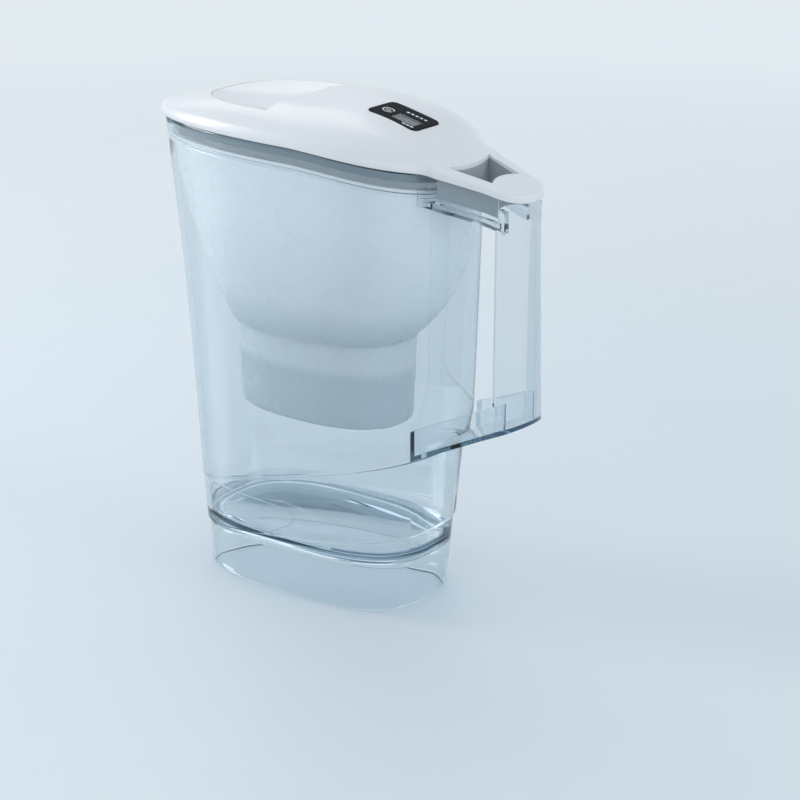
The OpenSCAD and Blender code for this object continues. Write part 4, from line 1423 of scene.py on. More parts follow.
    def posts(self) -> list[Solid]:
        """Returns the corner posts where rails and bridge meet the grip's free edges."""
        f, half = FORM, self.post / 2
        x0 = f.grip_edge + self.post_start
        made = []
        for side in (-1, 1):
            y = side * (f.grip_w / 2 - self.post_inset - half)
            for level in (edge_band(-f.rail_h, -self.post_drop),
                          bridge_slab(0, f.bridge_h, f.grip_edge - self.post_len, f.tail_x)):
                post = Solid.box((x0, y - half, LOW), (x0 + self.post_len, y + half, HIGH))
                made.append(post.keep(level))
        return made

    def ledge(self) -> Solid:
        """Returns the ledge inside the tank under the funnel's lip."""
        f, n = FORM, self.points
        return Solid.tube(f.tank_outline(f.rim_z, f.wall - self.ledge_out, 0, n),
                          f.tank_outline(f.rim_z, f.wall + self.ledge_in, 0, n),
                          lambda x: f.edge_z(x) - f.lip_drop - self.ledge_low,
                          lambda x: f.edge_z(x) - f.lip_drop - self.ledge_high)

    def build(self) -> Piece:
        """Builds the tank as one clear moulding.

        Returns:
            The tank.
        """
        f = FORM
        spout_x, spout_z = f.nose_x + self.spout_in, f.rim_z - self.spout_deep
        solid = self.outside()
        solid.join(Solid.cylinder(spout_x, spout_z, self.spout_r, self.spout_deep - f.gap,
                                  self.spout_top_r))
        solid.join(self.rails()).join(self.bridge()).join(self.grip())
        for post in self.posts():
            solid.join(post)
        solid.cut(self.inside())
        solid.cut(Solid.cylinder(spout_x, spout_z + self.spout_floor, self.channel_r,
                                 self.spout_deep - 1, self.channel_top_r))
        solid.join(self.ledge())
        return solid.finish("tank", self.finishes.clear, "jug", ["jug", "jug_grip"], "clear_tank",
                            self.crisp)

    def build_panel(self) -> Piece:
        """Builds the raised outline of the bare label panel on the tank's side.

        Returns:
            The outline, as a thin bead.
        """
        steps, outline = self.panel_steps, self.panel_plan
        points = []
        for (x0, z0), (x1, z1) in zip(outline, outline[1:] + outline[:1]):
            points += [(mix(x0, x1, k / steps), mix(z0, z1, k / steps)) for k in range(steps)]
        curve = bpy.data.curves.new("label_panel", "CURVE")
        curve.dimensions = "3D"
        curve.bevel_depth = self.panel_bead * MM
        curve.bevel_resolution = 3
        line = curve.splines.new("POLY")
        line.points.add(len(points) - 1)
        line.use_cyclic_u = True
        for spot, (x, z) in zip(line.points, points):
            low = 1 if z < FORM.waist_z else 0
            ring = FORM.tank_ring(z, self.panel_inset, low, self.panel_samples)
            near = min((p for p in ring if p[1] < 0), key=lambda p: abs(p[0] - x))
            spot.co = (near[0] * MM, near[1] * MM, z * MM, 1)
        panel = bpy.data.objects.new("label_panel", curve)
        bpy.context.scene.collection.objects.link(panel)
        curve.materials.append(self.finishes.clear)
        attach(panel, "jug")
        log.info("built label_panel on jug: %d points", len(points))
        return panel


# ---------------------------------------- funnel and cartridge

@dataclass
class Funnel:
    """The frosted funnel with its cartridge pocket and pouring recess."""

    finishes: Finishes
    points: int = 176
    taper: float = 4.0                  # the pocket is this much shorter and slimmer at its foot
    pour_in: float = 4.0                # from the nose to the axis of the pouring recess
    pour_r: float = 17.0
    pour_h: float = 200.0
    lip_t: float = 1.6
    lip_level: float = 11.0             # below the rim, where the lip's outline is taken
    nudge: float = 0.02                 # keeps the rings over the hollow's floor apart
    side_start: float = 3.0             # height over the pocket's foot where its sides begin to flare
    over: float = 8.0                   # the hollow runs this far past the lip
    outlet_half: float = 19.0
    outlet_r: float = 12.0
    outlet_h: float = 5.0
    outlet_points: int = 48
    crisp: float = 32.0
    foot_round: Table = ((0, 2.5), (0.4, 1.4), (1.2, 0.5), (2.6, 0))
    pocket_shares: tuple[float, ...] = (0.25, 0.5, 0.75, 0.97)
    bowl_shares: tuple[float, ...] = (
        1, 0.985, 0.96, 0.92, 0.87, 0.81, 0.74, 0.66, 0.58, 0.5, 0.41, 0.32, 0.23, 0.14, 0.06, 0)

    def pocket(self, inset: float, low: float) -> list[Ring]:
        """Returns the rings of the cartridge pocket.

        Args:
            inset: Distance drawn in from the outside.
            low: Height of its lowest ring.

        Returns:
            The rings, from low to high.
        """
        f, n = FORM, self.points
        short, slim = f.pocket_len - self.taper, f.pocket_w - self.taper
        rings = [f.oval(short, slim, low + rise, inset + turn, n) for rise, turn in self.foot_round]
        for t in self.pocket_shares:
            rings.append(f.oval(mix(short, f.pocket_len, t), mix(slim, f.pocket_w, t),
                                mix(f.pocket_z + self.side_start, f.bowl_z, t), inset, n))
        return rings

    def bowl(self, inset: float) -> list[Ring]:
        """Returns the rings of the bowl from its bottom to its lip."""
        return [FORM.bowl_ring(t, inset, self.points) for t in self.bowl_shares]

    def hollow(self) -> Solid:
        """Returns the space inside pocket and bowl, less the wall round the pouring recess."""
        f, w = FORM, FORM.funnel_wall
        floor = [[(x, y, max(z, f.bowl_z + w) + self.nudge * i) for x, y, z in ring]
                 for i, ring in enumerate(self.bowl(w))]
        above = [(x, y, z + self.over) for x, y, z in f.bowl_ring(0, w, self.points)]
        solid = Solid.loft(self.pocket(w, f.pocket_z + w) + floor + [above])
        return solid.cut(Solid.cylinder(f.nose_x + self.pour_in, f.bowl_z, self.pour_r + w, self.pour_h))

    def lip(self) -> Solid:
        """Returns the lip that hangs the funnel in the tank."""
        f, n = FORM, self.points
        return Solid.tube(f.tank_outline(f.rim_z - self.lip_level, f.wall + f.slip, 0, n),
                          [p[:2] for p in f.bowl_ring(0, f.funnel_wall / 2, n)],
                          lambda x: f.edge_z(x) - f.lip_drop - self.lip_t,
                          lambda x: f.edge_z(x) - f.lip_drop)

    def outlet(self) -> Solid:
        """Returns the slot under the cartridge."""
        f, n, r = FORM, self.outlet_points, self.outlet_r
        turns = [2 * math.pi * (i + 0.5) / n for i in range(n)]
        plan = [(f.bowl_x + math.copysign(self.outlet_half, math.cos(a)) + r * math.cos(a),
                 r * math.sin(a)) for a in turns]
        return Solid.prism(plan, f.pocket_z - 2, f.pocket_z + self.outlet_h)

    def build(self) -> Piece:
        """Builds the funnel.

        Returns:
            The funnel.
        """
        f = FORM
        solid = Solid.loft(self.pocket(0, f.pocket_z) + self.bowl(0))
        solid.cut(self.hollow())
        solid.join(self.lip())
        solid.cut(Solid.cylinder(f.nose_x + self.pour_in, f.bowl_z, self.pour_r, self.pour_h))
        solid.cut(self.outlet())
        return solid.finish("funnel_bowl", self.finishes.frosted, "funnel", ["funnel"],
                            "funnel_plastic", self.crisp)


@dataclass
class Cartridge:
    """The filter cartridge: cup, slotted cap with its grip loop, cloths and grains."""

    finishes: Finishes

    def build(self) -> None:
        """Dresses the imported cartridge."""
        k = self.finishes
        for node, material in {
                "cartridge_shell": k.cartridge, "cartridge_cap": k.cartridge,
                "cartridge_top_mesh": k.cloth, "cartridge_base_mesh": k.cloth,
                "filter_media": k.grains}.items():
            dress(node, material)


# ---------------------------------------- lid

@dataclass(frozen=True)
class Hinge:
    """The ears and pins that a flap turns on, measured from its sides."""

    pin_r: float
    ear_in: float
    pin_in: float
    pin_out: float
    ear: tuple[float, float, float, float]      # half its length and width, and below and over the pin

    def add(self, solid: Solid, x: float, z: float, half: float) -> None:
        """Adds an ear and a pin to both sides of a flap.

        Args:
            solid: The flap.
            x: Place of the pins' axis.
            z: Height of the pins' axis.
            half: Half the width that the sides are measured from.
        """
        along, across, below, over = self.ear
        for side in (-1, 1):
            y = side * (half - self.ear_in)
            solid.join(Solid.box((x - along, y - across, z - below), (x + along, y + across, z + over)))
            ends = (side * (half - self.pin_in), side * (half + self.pin_out))
            solid.join(Solid.pin(x, z, self.pin_r, ends))


@dataclass
class Lid:
    """The white lid with its hand hole, flaps and the moulding under it, coloured grey and dark blue-grey
    as painted shade.
    """

    finishes: Finishes
    edge_round: float = 2.0
    round_steps: int = 7
    foot_drop: float = 6.0              # a cutting form reaches this far below the lid's edge
    spine_nose: float = 24.0            # ends of the line that the top's rings shrink to
    spine_tail: float = 16.0
    top_shares: tuple[float, ...] = (0.04, 0.09, 0.15, 0.22, 0.3, 0.39, 0.49, 0.6, 0.72, 0.86, 1.0)
    under_shares: tuple[float, ...] = (1.0, 0.6, 0.25)
    edge_turns: Table = ((0.5, 0), (0.15, 0.15))        # inset, height
    side_low: float = 0.5
    side_high: float = 0.4
    face_lift: float = 0.6
    bezel_play: float = 0.4
    bezel_round: float = 4.2
    bezel_steps: int = 12
    bezel_depths: tuple[float, float] = (-9, 12)
    curtain_start: float = 0.1
    curtain_t: float = 1.2
    curtain_end: float = 1.0
    curtain_steps: int = 20
    curtain_drop: float = 0.5
    spout_play: float = 0.4
    spout_seam: float = 0.8
    spout_pin_back: float = 3.6
    spout_pin_drop: float = 2.4
    spout_hinge: Hinge = Hinge(1.0, 1.6, 1.4, 2.6, (1.6, 1.0, 0.7, 1.6))
    flap_play: float = 0.8
    flap_seam: float = 1.5
    flap_rings: int = 48
    flap_sides: int = 120
    flap_least: float = 0.01            # share of the size where the innermost ring lies
    flap_pin_line: float = 0.78         # share of the lid's half width where the pins meet its shell
    flap_pin_play: float = 1.0
    flap_hinge: Hinge = Hinge(FORM.pin_d / 2, 5.0, 5.0, 4.0, (3.0, 1.5, 3.0, 4.2))
    skirt_play: float = 0.3
    skirt_t: float = 1.6
    skirt_top: float = 2.5
    skirt_points: int = 192
    hand_well_t: float = 1.6
    hand_well_side: float = 12.0        # from the middle line, where the well meets the lid's top
    hand_well_gap: float = 0.1
    arm_skirt_in: float = 4.0
    arm_skirt_t: float = 1.6
    arm_skirt_top: float = 1.5
    arm_skirt_lead: float = 3.0
    flap_well_in: float = 1.2
    flap_well_t: float = 1.6
    flap_well_low: float = 2.0
    flap_well_share: float = 0.55       # of the crown's height
    crisp: float = 30.0

    def ring(self, inset: float, height: Callable[[float, float], float]) -> Ring:
        """Returns a ring over the lid's outline at a height that changes along it."""
        return [(x, y, height(x, y)) for x, y in FORM.lid_plan(inset)]

    def shrunk(self, plan: Iterable[Sequence[float]], share: float) -> Plan:
        """Returns an outline drawn in towards the lid's spine.

        Args:
            plan: Points, of which X and Y count.
            share: Share of the way to the spine.

        Returns:
            The smaller outline.
        """
        low, high = FORM.nose_x + self.spine_nose, FORM.tail_x - self.spine_tail
        return [(mix(p[0], min(max(p[0], low), high), share), mix(p[1], 0, share)) for p in plan]

    def slab(self, inset: float, drop: float) -> Solid:
        """Returns the solid under the lid's top surface.

        Args:
            inset: Distance its sides are drawn in.
            drop: Distance its top is lowered.

        Returns:
            The solid.
        """
        f, r = FORM, self.edge_round
        foot = -self.foot_drop if inset else 0.0
        if inset:
            rings = [self.ring(inset, lambda x, y: f.edge_z(x) + foot)]
        else:
            rings = [self.ring(turn, lambda x, y: f.edge_z(x) + rise) for turn, rise in self.edge_turns]
        rings.append(self.ring(inset, lambda x, y: f.edge_z(x) + foot + self.side_low))
        rings.append(self.ring(inset, lambda x, y: f.edge_z(x) + f.side_h - drop - r + self.side_high))
        for k in range(1, self.round_steps + 1):
            a = math.pi / 2 * k / self.round_steps
            fall = r * (1 - math.sin(a))
            plan = f.lid_plan(inset + r * (1 - math.cos(a)))
            rings.append([(x, y, f.lid_top(x, y) - drop - fall) for x, y in plan])
        last = f.lid_plan(inset + r)
        rings += [[(x, y, f.lid_top(x, y) - drop) for x, y in self.shrunk(last, share)]
                  for share in self.top_shares]
        under = [[(x, y, f.edge_z(x) + foot) for x, y in self.shrunk(rings[0], share)]
                 for share in self.under_shares]
        return Solid.fold(under + rings)

    def cover(self) -> Solid:
        """Returns the whole lid as a hollow shell, before anything is cut out of it."""
        return self.slab(0, 0).cut(self.slab(FORM.lid_t, FORM.lid_t))

    def face_point(self, u: float, v: float, depth: float) -> Point:
        """Returns a point on the indicator's tilted face.

        Args:
            u: Place along the face, towards the handle.
            v: Place across the face.
            depth: Height over the face.

        Returns:
            The point.
        """
        f = FORM
        x = f.tail_x - f.face_from_tail
        front, back = f.lid_top(x - f.face_len / 2, 0), f.lid_top(x + f.face_len / 2, 0)
        tilt = math.atan((front - back) / f.face_len)
        z = (front + back) / 2 + self.face_lift
        return (x + u * math.cos(tilt) + depth * math.sin(tilt), v,
                z - u * math.sin(tilt) + depth * math.cos(tilt))

    def indicator_hole(self) -> Solid:
        """Returns the opening the indicator sits in."""
        r = self.bezel_round
        reach, half = (FORM.face_len + self.bezel_play) / 2 - r, (FORM.face_w + self.bezel_play) / 2 - r
        plan = []
        for k, (sx, sy) in enumerate(((1, 1), (-1, 1), (-1, -1), (1, -1))):
            for i in range(self.bezel_steps + 1):
                a = math.pi / 2 * (k + i / self.bezel_steps)
                plan.append((sx * reach + r * math.cos(a), sy * half + r * math.sin(a)))
        return Solid.loft([[self.face_point(u, v, depth) for u, v in plan] for depth in self.bezel_depths])

    def curtain(self) -> Solid:
        """Returns the wall in the lid behind the dish of the fill flap."""
        f = FORM
        near = f.flap_x + self.curtain_start
        far = near + self.curtain_t
        half = f.moon(1, math.pi / 2)[1] - self.curtain_end
        rings = []
        for i in range(2 * self.curtain_steps + 1):
            y = half * (i / self.curtain_steps - 1)
            top = f.lid_top(near, y) - self.curtain_drop
            low = top - f.lid_t - f.dish_depth * (1 - abs(y / half) ** f.dish_power)
            rings.append([(near, y, top), (far, y, top), (far, y, low), (near, y, low)])
        return Solid.loft(rings)

    def build_shell(self) -> Piece:
        """Builds the white lid.

        Returns:
            The lid's shell.
        """
        f = FORM
        solid = self.cover()
        solid.cut(Solid.prism(f.hole_outline(0), BELOW, ABOVE))
        solid.cut(Solid.prism(f.moon_outline(0), BELOW, ABOVE))
        solid.cut(Solid.box((f.nose_x - PAST, -f.spout_w / 2, BELOW),
                            (f.nose_x + f.spout_len, f.spout_w / 2, ABOVE)))
        solid.cut(self.indicator_hole())
        solid.join(self.curtain())
        return solid.finish("lid_cover", self.finishes.white, "lid", ["lid_shell"], "white_plastic",
                            self.crisp)

    def build_spout_flap(self) -> Piece:
        """Builds the flap over the spout with its pins.

        Returns:
            The flap.
        """
        f = FORM
        solid = self.cover()
        half, seam = f.spout_w / 2 - self.spout_play, f.nose_x + f.spout_len
        solid.keep(Solid.box((f.nose_x - PAST, -half, BELOW), (seam - self.spout_seam, half, ABOVE)))
        pin_x = seam - self.spout_pin_back
        self.spout_hinge.add(solid, pin_x, f.lid_top(pin_x, 0) - self.spout_pin_drop, f.spout_w / 2)
        return solid.finish("spout_cover", self.finishes.white, "spout_flap", ["spout_flap"],
                            "white_plastic", self.crisp)

    def dish(self) -> Solid:
        """Returns the dished half moon: a top and an underside of rings, and a wall round them."""
        f, rings, n = FORM, self.flap_rings, self.flap_sides
        shrink = 1 - self.flap_play / f.flap_w
        points: list[Point] = []
        for level in (0.0, f.flap_t):
            for k in range(rings + 1):
                for i in range(n + 1):
                    r, a = max(self.flap_least, k / rings), math.pi * (i / n - 0.5)
                    x, y = f.moon(r * shrink, a)
                    seam = self.flap_seam * (1 - math.cos(a) ** 2)
                    points.append((x - seam, y, f.dish_z(*f.moon(r, a), r) - level))
        w, m = n + 1, (rings + 1) * (n + 1)
        faces = []
        for k in range(rings):
            for i in range(n):
                a = k * w + i
                faces.append((a, a + w, a + w + 1, a + 1))
                faces.append((m + a, m + a + 1, m + a + w + 1, m + a + w))
        last = rings * w
        faces += [(last + i, m + last + i, m + last + i + 1, last + i + 1) for i in range(n)]
        faces += [(i + 1, m + i + 1, m + i, i) for i in range(n)]
        for k in range(rings):
            a, b = k * w, k * w + n
            faces.append((a, m + a, m + a + w, a + w))
            faces.append((b + w, m + b + w, m + b, b))
        return Solid(points, faces)

    def build_fill_flap(self) -> Piece:
        """Builds the rocking half moon flap with its pins.

        Returns:
            The flap.
        """
        f = FORM
        solid = self.dish()
        pin_x = f.flap_x - f.pin_back
        base_y = self.flap_pin_line * f.lid_half(pin_x)
        pin_z = f.lid_top(pin_x, base_y) - f.lid_t - f.pin_d / 2 - self.flap_pin_play
        self.flap_hinge.add(solid, pin_x, pin_z, f.flap_w / 2)
        return solid.finish("fill_cover", self.finishes.white, "fill_flap", ["fill_flap"],
                            "white_plastic", self.crisp)

    def skirt(self) -> Solid:
        """Returns the skirt that centres the lid in the tank, open at the spout."""
        f, n = FORM, self.skirt_points
        inset, z = f.wall + f.slip + self.skirt_play, f.rim_z - f.skirt_h
        solid = Solid.tube(f.tank_outline(z, inset, 0, n), f.tank_outline(z, inset + self.skirt_t, 0, n),
                           lambda x: f.edge_z(x) - f.skirt_h, lambda x: f.edge_z(x) + self.skirt_top)
        return solid.cut(Solid.box((f.nose_x - 1, -f.spout_w / 2 - 1, BELOW),
                                   (f.nose_x + f.spout_len + 2, f.spout_w / 2 + 1, ABOVE)))

    def hand_well(self) -> Solid:
        """Returns the wall round the hand hole."""
        f = FORM
        return Solid.tube(f.hole_outline(self.hand_well_t), f.hole_outline(0),
                          lambda x: f.edge_z(x) - f.well_h,
                          lambda x: f.lid_top(x, self.hand_well_side) - f.lid_t - self.hand_well_gap)

    def arm_skirts(self) -> Solid:
        """Returns the skirts under the lid's arms."""
        f, inset, x0 = FORM, self.arm_skirt_in, FORM.hole_x[0] - self.arm_skirt_lead
        solid = arm_column(inset, x0, f.grip_edge - f.gap)
        solid.cut(arm_column(inset + self.arm_skirt_t, x0 - 1, f.grip_edge + 1))
        return solid.keep(edge_band(-f.well_h, self.arm_skirt_top))

    def flap_well(self) -> Solid:
        """Returns the well under the curved side of the fill flap."""
        f, inner = FORM, self.flap_well_in
        return Solid.tube(f.moon_outline(inner + self.flap_well_t), f.moon_outline(inner),
                          lambda x: f.edge_z(x) + self.flap_well_low,
                          lambda x: f.edge_z(x) + f.side_h + f.crown(x) * self.flap_well_share)

    def build_frame(self) -> list[Piece]:
        """Builds the moulding under the lid, coloured dark blue-grey and grey as painted shade.

        Returns:
            Its pieces: the skirt, the two wells and the skirts of the arms.
        """
        # painted shade: the skirt takes the dark blue-grey colour, the wells and the arm skirts the grey
        # one
        dark, slate = self.finishes.dark, self.finishes.slate
        pieces = (("lid_skirt", self.skirt, dark, ["lid_frame"]), ("hand_well", self.hand_well, slate, ()),
                  ("arm_skirts", self.arm_skirts, slate, ()), ("flap_well", self.flap_well, slate, ()))
        return [shape().finish(name, material, "lid", replaced, "frame_plastic", self.crisp)
                for name, shape, material, replaced in pieces]

    def build(self) -> None:
        """Builds every piece of the lid."""
        self.build_shell()
        self.build_spout_flap()
        self.build_fill_flap()
        self.build_frame()


# ---------------------------------------- change indicator

@dataclass
class Indicator:
    """The change indicator: bezel, display, start button and what lies under them.

    Places on its face are given as pairs: towards the handle, and across the lid.
    """

    finishes: Finishes
    lid: Lid
    button: tuple[float, float] = (-9.2, -1.4)
    button_r: tuple[float, float] = (2.75, 3.3)
    button_arc: tuple[float, float] = (20, 340)
    button_lift: float = 0.1
    print_t: float = 0.08
    arc_steps: int = 48
    strokes: tuple[tuple[float, float, float], ...] = ((-0.9, 0.3, 60), (0.9, 0.3, -60), (0, -0.7, 0))
    stroke_size: tuple[float, float] = (1.9, 0.45)
    stages: int = 5
    stage_first: tuple[float, float] = (-1.6, 6.2)
    stage_pitch: float = 2.9
    stage_size: tuple[float, float] = (1.7, 1.2)
    bars: int = 4
    bar_first: tuple[float, float] = (-1.2, -2.3)
    bar_pitch: float = 3.2
    bar_size: tuple[float, float] = (1.7, 6.0)
    bar_lift: float = -1.62
    bar_t: float = 0.06
    feet: int = 3
    foot_first: tuple[float, float] = (6.6, -8.9)
    foot_pitch: float = 2.6
    foot_size: tuple[float, float] = (1.9, 1.1)

    def plate(self, name: str, spot: tuple[float, float], size: tuple[float, float], lift: float,
              material: Finish, body: str = "lid", thick: float = 0.12, turn: float = 0.0) -> Piece:
        """Lays a small printed plate on the face.

        Args:
            name: Name of the piece.
            spot: Place of its middle on the face.
            size: Its length along the face and its width across it.
            lift: Height of its underside over the face.
            material: Its finish.
            body: The moving body it rides on.
            thick: Its thickness.
            turn: Turn about the face's normal in degrees.

        Returns:
            The plate.
        """
        c, s = math.cos(math.radians(turn)), math.sin(math.radians(turn))
        rings = []
        for depth in (lift, lift + thick):
            ring = []
            for du, dv in ((-1, -1), (1, -1), (1, 1), (-1, 1)):
                a, b = du * size[0] / 2, dv * size[1] / 2
                ring.append(self.lid.face_point(spot[0] + a * c - b * s, spot[1] + a * s + b * c, depth))
            rings.append(ring)
        return Solid.loft(rings).finish(name, material, body)

    def row(self, name: str, count: int, first: tuple[float, float], pitch: float,
            size: tuple[float, float], lift: float, material: Finish, thick: float = 0.12) -> list[Piece]:
        """Lays a row of equal plates along the face.

        Args:
            name: Name of the pieces, before their number.
            count: How many there are.
            first: Place of the first one.
            pitch: Distance from one to the next.
            size: Length along the face and width across it.
            lift: Height of their underside over the face.
            material: Their finish.
            thick: Their thickness.

        Returns:
            The plates.
        """
        return [self.plate(f"{name}_{i}", (first[0] + pitch * i, first[1]), size, lift, material,
                           thick=thick) for i in range(count)]

    def arc(self, name: str, spot: tuple[float, float], radii: tuple[float, float],
            span: tuple[float, float], lift: float, material: Finish, body: str) -> Piece:
        """Lays an arc of a flat ring on the face.

        Args:
            name: Name of the piece.
            spot: Place of its middle on the face.
            radii: Its inner and its outer radius.
            span: The angles in degrees that it runs between.
            lift: Height of its underside over the face.
            material: Its finish.
            body: The moving body it rides on.

        Returns:
            The arc.
        """
        n = self.arc_steps
        points, faces = [], []
        for depth in (lift, lift + self.print_t):
            for i in range(n + 1):
                a = math.radians(mix(*span, i / n))
                points += [self.lid.face_point(spot[0] + r * math.cos(a), spot[1] + r * math.sin(a), depth)
                           for r in radii]
        m = 2 * (n + 1)
        for i in range(n):
            a = 2 * i
            faces += [(m + a, m + a + 1, m + a + 3, m + a + 2), (a, a + 2, a + 3, a + 1),
                      (a, m + a, m + a + 2, a + 2), (a + 1, a + 3, m + a + 3, m + a + 1)]
        faces += [(0, 1, m + 1, m), (m - 2, 2 * m - 2, 2 * m - 1, m - 1)]
        return Solid(points, faces).finish(name, material, body)

    def dress_packed(self) -> None:
        """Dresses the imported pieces."""
        k = self.finishes
        for node, material in {
                "indicator_bezel": k.black, "indicator_window": k.window, "indicator_display": k.display,
                "indicator_button": k.key, "indicator_button_pad": k.rubber, "indicator_board": k.board,
                "indicator_connector": k.strip, "indicator_battery": k.steel,
                "indicator_battery_clip": k.brass, "indicator_seal": k.rubber,
                "indicator_back": k.case}.items():
            dress(node, material)

    def build(self) -> None:
        """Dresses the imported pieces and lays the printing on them."""
        pale, dark = self.finishes.print_white, self.finishes.print_dark
        self.dress_packed()
        self.arc("button_ring", self.button, self.button_r, self.button_arc, self.button_lift, pale,
                 "start_button")
        for i, (du, dv, turn) in enumerate(self.strokes):
            self.plate(f"button_mark_{i}", (self.button[0] + du, self.button[1] + dv), self.stroke_size,
                       self.button_lift, pale, "start_button", self.print_t, turn)
        self.row("stage_mark", self.stages, self.stage_first, self.stage_pitch, self.stage_size, 0.0, pale)
        self.row("level_bar", self.bars, self.bar_first, self.bar_pitch, self.bar_size, self.bar_lift,
                 dark, self.bar_t)
        self.row("foot_mark", self.feet, self.foot_first, self.foot_pitch, self.foot_size, 0.0, pale)


# ---------------------------------------- studio

@dataclass(frozen=True)
class Lamp:
    """A soft rectangular lamp aimed at the pitcher, in metres and watts."""

    name: str
    place: Point
    size: tuple[float, float]
    power: float
    colour: Colour = (1, 1, 1)

    def hang(self, aim: Point) -> Piece:
        """Hangs the lamp.

        Args:
            aim: The point it shines at.

        Returns:
            The lamp.
        """
        data = bpy.data.lights.new(self.name, "AREA")
        data.shape = "RECTANGLE"
        data.size, data.size_y = self.size
        data.energy = self.power
        data.color = self.colour
        lamp = bpy.data.objects.new(self.name, data)
        lamp.location = self.place
        lamp.rotation_euler = (Vector(aim) - Vector(self.place)).to_track_quat("-Z", "Y").to_euler()
        bpy.context.scene.collection.objects.link(lamp)
        log.info("hung the %s lamp", self.name)
        return lamp


@dataclass(frozen=True)
class Sky:
    """Colours of the surround from the horizon up, as a ramp over the ray's height."""

    low: Colour
    middle: Colour
    high: Colour
    low_at: float = 0.22
    middle_at: float = 0.40

    def ramp(self, nodes: Nodes, height: Socket, horizon: Colour) -> Socket:
        """Adds the ramp to a tree.

        Args:
            nodes: The tree.
            height: Height of the ray's direction.
            horizon: Colour at and below the horizon.

        Returns:
            The colour.
        """
        made = nodes.node("ValToRGB", {"Fac": height})
        stops = made.color_ramp.elements
        stops[0].position, stops[0].color = 0.0, (*horizon, 1)
        stops[1].position, stops[1].color = 1.0, (*self.high, 1)
        stops.new(self.low_at).color = (*self.low, 1)
        stops.new(self.middle_at).color = (*self.middle, 1)
        return made.outputs[0]


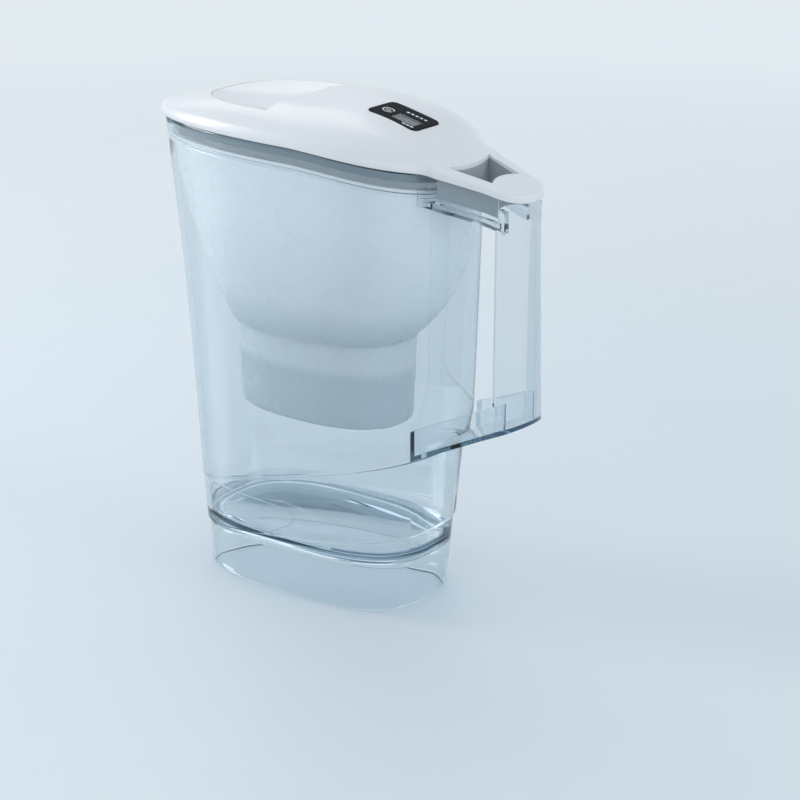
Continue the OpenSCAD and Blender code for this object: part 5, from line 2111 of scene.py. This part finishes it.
@dataclass
class Studio:
    """Pale floor, soft lights, a cool surround and the camera."""

    back: Colour = (0.76, 0.83, 0.88)
    level: float = 0.92
    floor_half: float = 9.0                     # metres
    floor_drop: float = 0.0002
    floor_first: Colour = (0.64, 0.69, 0.73)
    floor_second: Colour = (0.66, 0.71, 0.75)
    floor_roughness: tuple[float, float] = (0.30, 0.42)
    fade_start: float = 0.35
    fade_stop: float = 1.6
    mirrored: Sky = Sky((0.74, 0.80, 0.85), (0.40, 0.47, 0.53), (0.20, 0.25, 0.28))
    bent: Sky = Sky((0.80, 0.86, 0.90), (0.72, 0.79, 0.83), (0.60, 0.67, 0.72))
    lamps: tuple[Lamp, ...] = (
        Lamp("key", (-0.75, 0.55, 1.15), (0.9, 0.9), 3.6),
        Lamp("fill", (0.9, -1.2, 0.7), (1.2, 0.8), 2.2, (0.93, 0.97, 1.0)),
        Lamp("left", (-1.4, -0.55, 0.66), (0.5, 0.9), 10.5),
        Lamp("right", (1.4, 0.15, 0.6), (0.5, 0.9), 3.6))
    aim: Point = (0, 0, 0.15)
    foot: Point = (-16.0, 0.0, 0.0)             # point that the camera is placed from, in millimetres
    distance: float = 1162.0
    rise: float = 520.5
    azimuth: float = 38.59
    turn: float = -1.96
    tilt: float = 19.78
    lens: float = 98.8
    bounces: int = 40
    bent_bounces: int = 36
    mirrored_bounces: int = 24
    clear_layers: int = 32

    def build_floor(self) -> Piece:
        """Lays a floor that fades into the surround.

        Returns:
            The floor.
        """
        s = self.floor_half
        mesh = bpy.data.meshes.new("floor")
        mesh.from_pydata([(-s, -s, 0), (s, -s, 0), (s, s, 0), (-s, s, 0)], [], [(0, 1, 2, 3)])
        floor = bpy.data.objects.new("floor", mesh)
        floor.location.z = -self.floor_drop
        bpy.context.scene.collection.objects.link(floor)
        g = Graph("floor")
        far = g.node("VectorMath", {0: g.place()}, operation="LENGTH")
        fade = g.span(far.outputs["Value"], 0, 1, self.fade_start, self.fade_stop)
        smooth = g.node("BsdfPrincipled", {
            "Base Color": g.tint(g.noise(scale=3, detail=2), self.floor_first, self.floor_second),
            "Roughness": g.span(g.noise(scale=30, detail=4), *self.floor_roughness),
            "Specular IOR Level": 0.3})
        glow = g.node("Emission", {"Color": (*self.back, 1), "Strength": 1.0})
        mesh.materials.append(g.close(g.blend(fade, smooth, glow)))
        log.info("laid the floor")
        return floor

    def build_surround(self) -> bpy.types.World:
        """Sets the light that comes from all round.

        Mirrored rays and rays bent by the clear plastic see a sky that darkens upward, the camera
        sees the plain background, and everything else is lit by it evenly.

        Returns:
            The surround.
        """
        world = bpy.data.worlds.new("surround")
        bpy.context.scene.world = world
        world.use_nodes = True
        w = Nodes(world.node_tree, "ShaderNodeOutputWorld")
        place = w.node("TexCoord")
        height = w.node("SeparateXYZ", {0: place.outputs["Generated"]}).outputs["Z"]
        path = w.node("LightPath")
        seen = w.node("Math", {0: path.outputs["Is Glossy Ray"], 1: path.outputs["Is Transmission Ray"]},
                      operation="MAXIMUM")
        shade = w.node("MixRGB", {"Fac": path.outputs["Is Transmission Ray"],
                                  "Color1": self.mirrored.ramp(w, height, self.back),
                                  "Color2": self.bent.ramp(w, height, self.back)})
        plain = w.node("Background", {"Color": (*self.back, 1), "Strength": self.level})
        open_view = w.node("Background", {"Color": (*self.back, 1), "Strength": 1.0})
        shaped = w.node("Background", {"Color": shade.outputs[0], "Strength": 1.0})
        both = w.node("MixShader", {0: seen.outputs[0], 1: plain.outputs[0], 2: shaped.outputs[0]})
        last = w.node("MixShader", {0: path.outputs["Is Camera Ray"], 1: both.outputs[0],
                                    2: open_view.outputs[0]})
        w.link(last.outputs[0], w.output.inputs["Surface"])
        log.info("set the surround")
        return world

    def build_camera(self) -> Piece:
        """Places the camera in front, to the right of the pitcher's middle.

        Returns:
            The camera.
        """
        a = math.radians(self.azimuth)
        data = bpy.data.cameras.new("camera")
        data.lens = self.lens
        camera = bpy.data.objects.new("camera", data)
        camera.location = Vector((self.foot[0] + self.distance * math.sin(a),
                                  self.foot[1] - self.distance * math.cos(a), self.rise)) * MM
        camera.rotation_euler = (math.radians(90 - self.tilt), 0, a + math.radians(self.turn))
        bpy.context.scene.collection.objects.link(camera)
        bpy.context.scene.camera = camera
        log.info("placed the camera")
        return camera

    def build(self) -> None:
        """Builds the whole studio, and lets light pass through many layers of clear plastic."""
        scene = bpy.context.scene
        self.build_floor()
        self.build_surround()
        for lamp in self.lamps:
            lamp.hang(self.aim)
        self.build_camera()
        scene.view_settings.view_transform = "Standard"
        scene.cycles.max_bounces = self.bounces
        scene.cycles.transmission_bounces = self.bent_bounces
        scene.cycles.glossy_bounces = self.mirrored_bounces
        scene.cycles.transparent_max_bounces = self.clear_layers


def main() -> None:
    """Builds every piece in order, then the studio."""
    finishes = Finishes()
    tank = Tank(finishes)
    tank.build()
    tank.build_panel()
    Funnel(finishes).build()
    Cartridge(finishes).build()
    lid = Lid(finishes)
    lid.build()
    Indicator(finishes, lid).build()
    Studio().build()
    write_bounds()
    log.info("pitcher is complete")


if __name__ == "__main__":
    main()
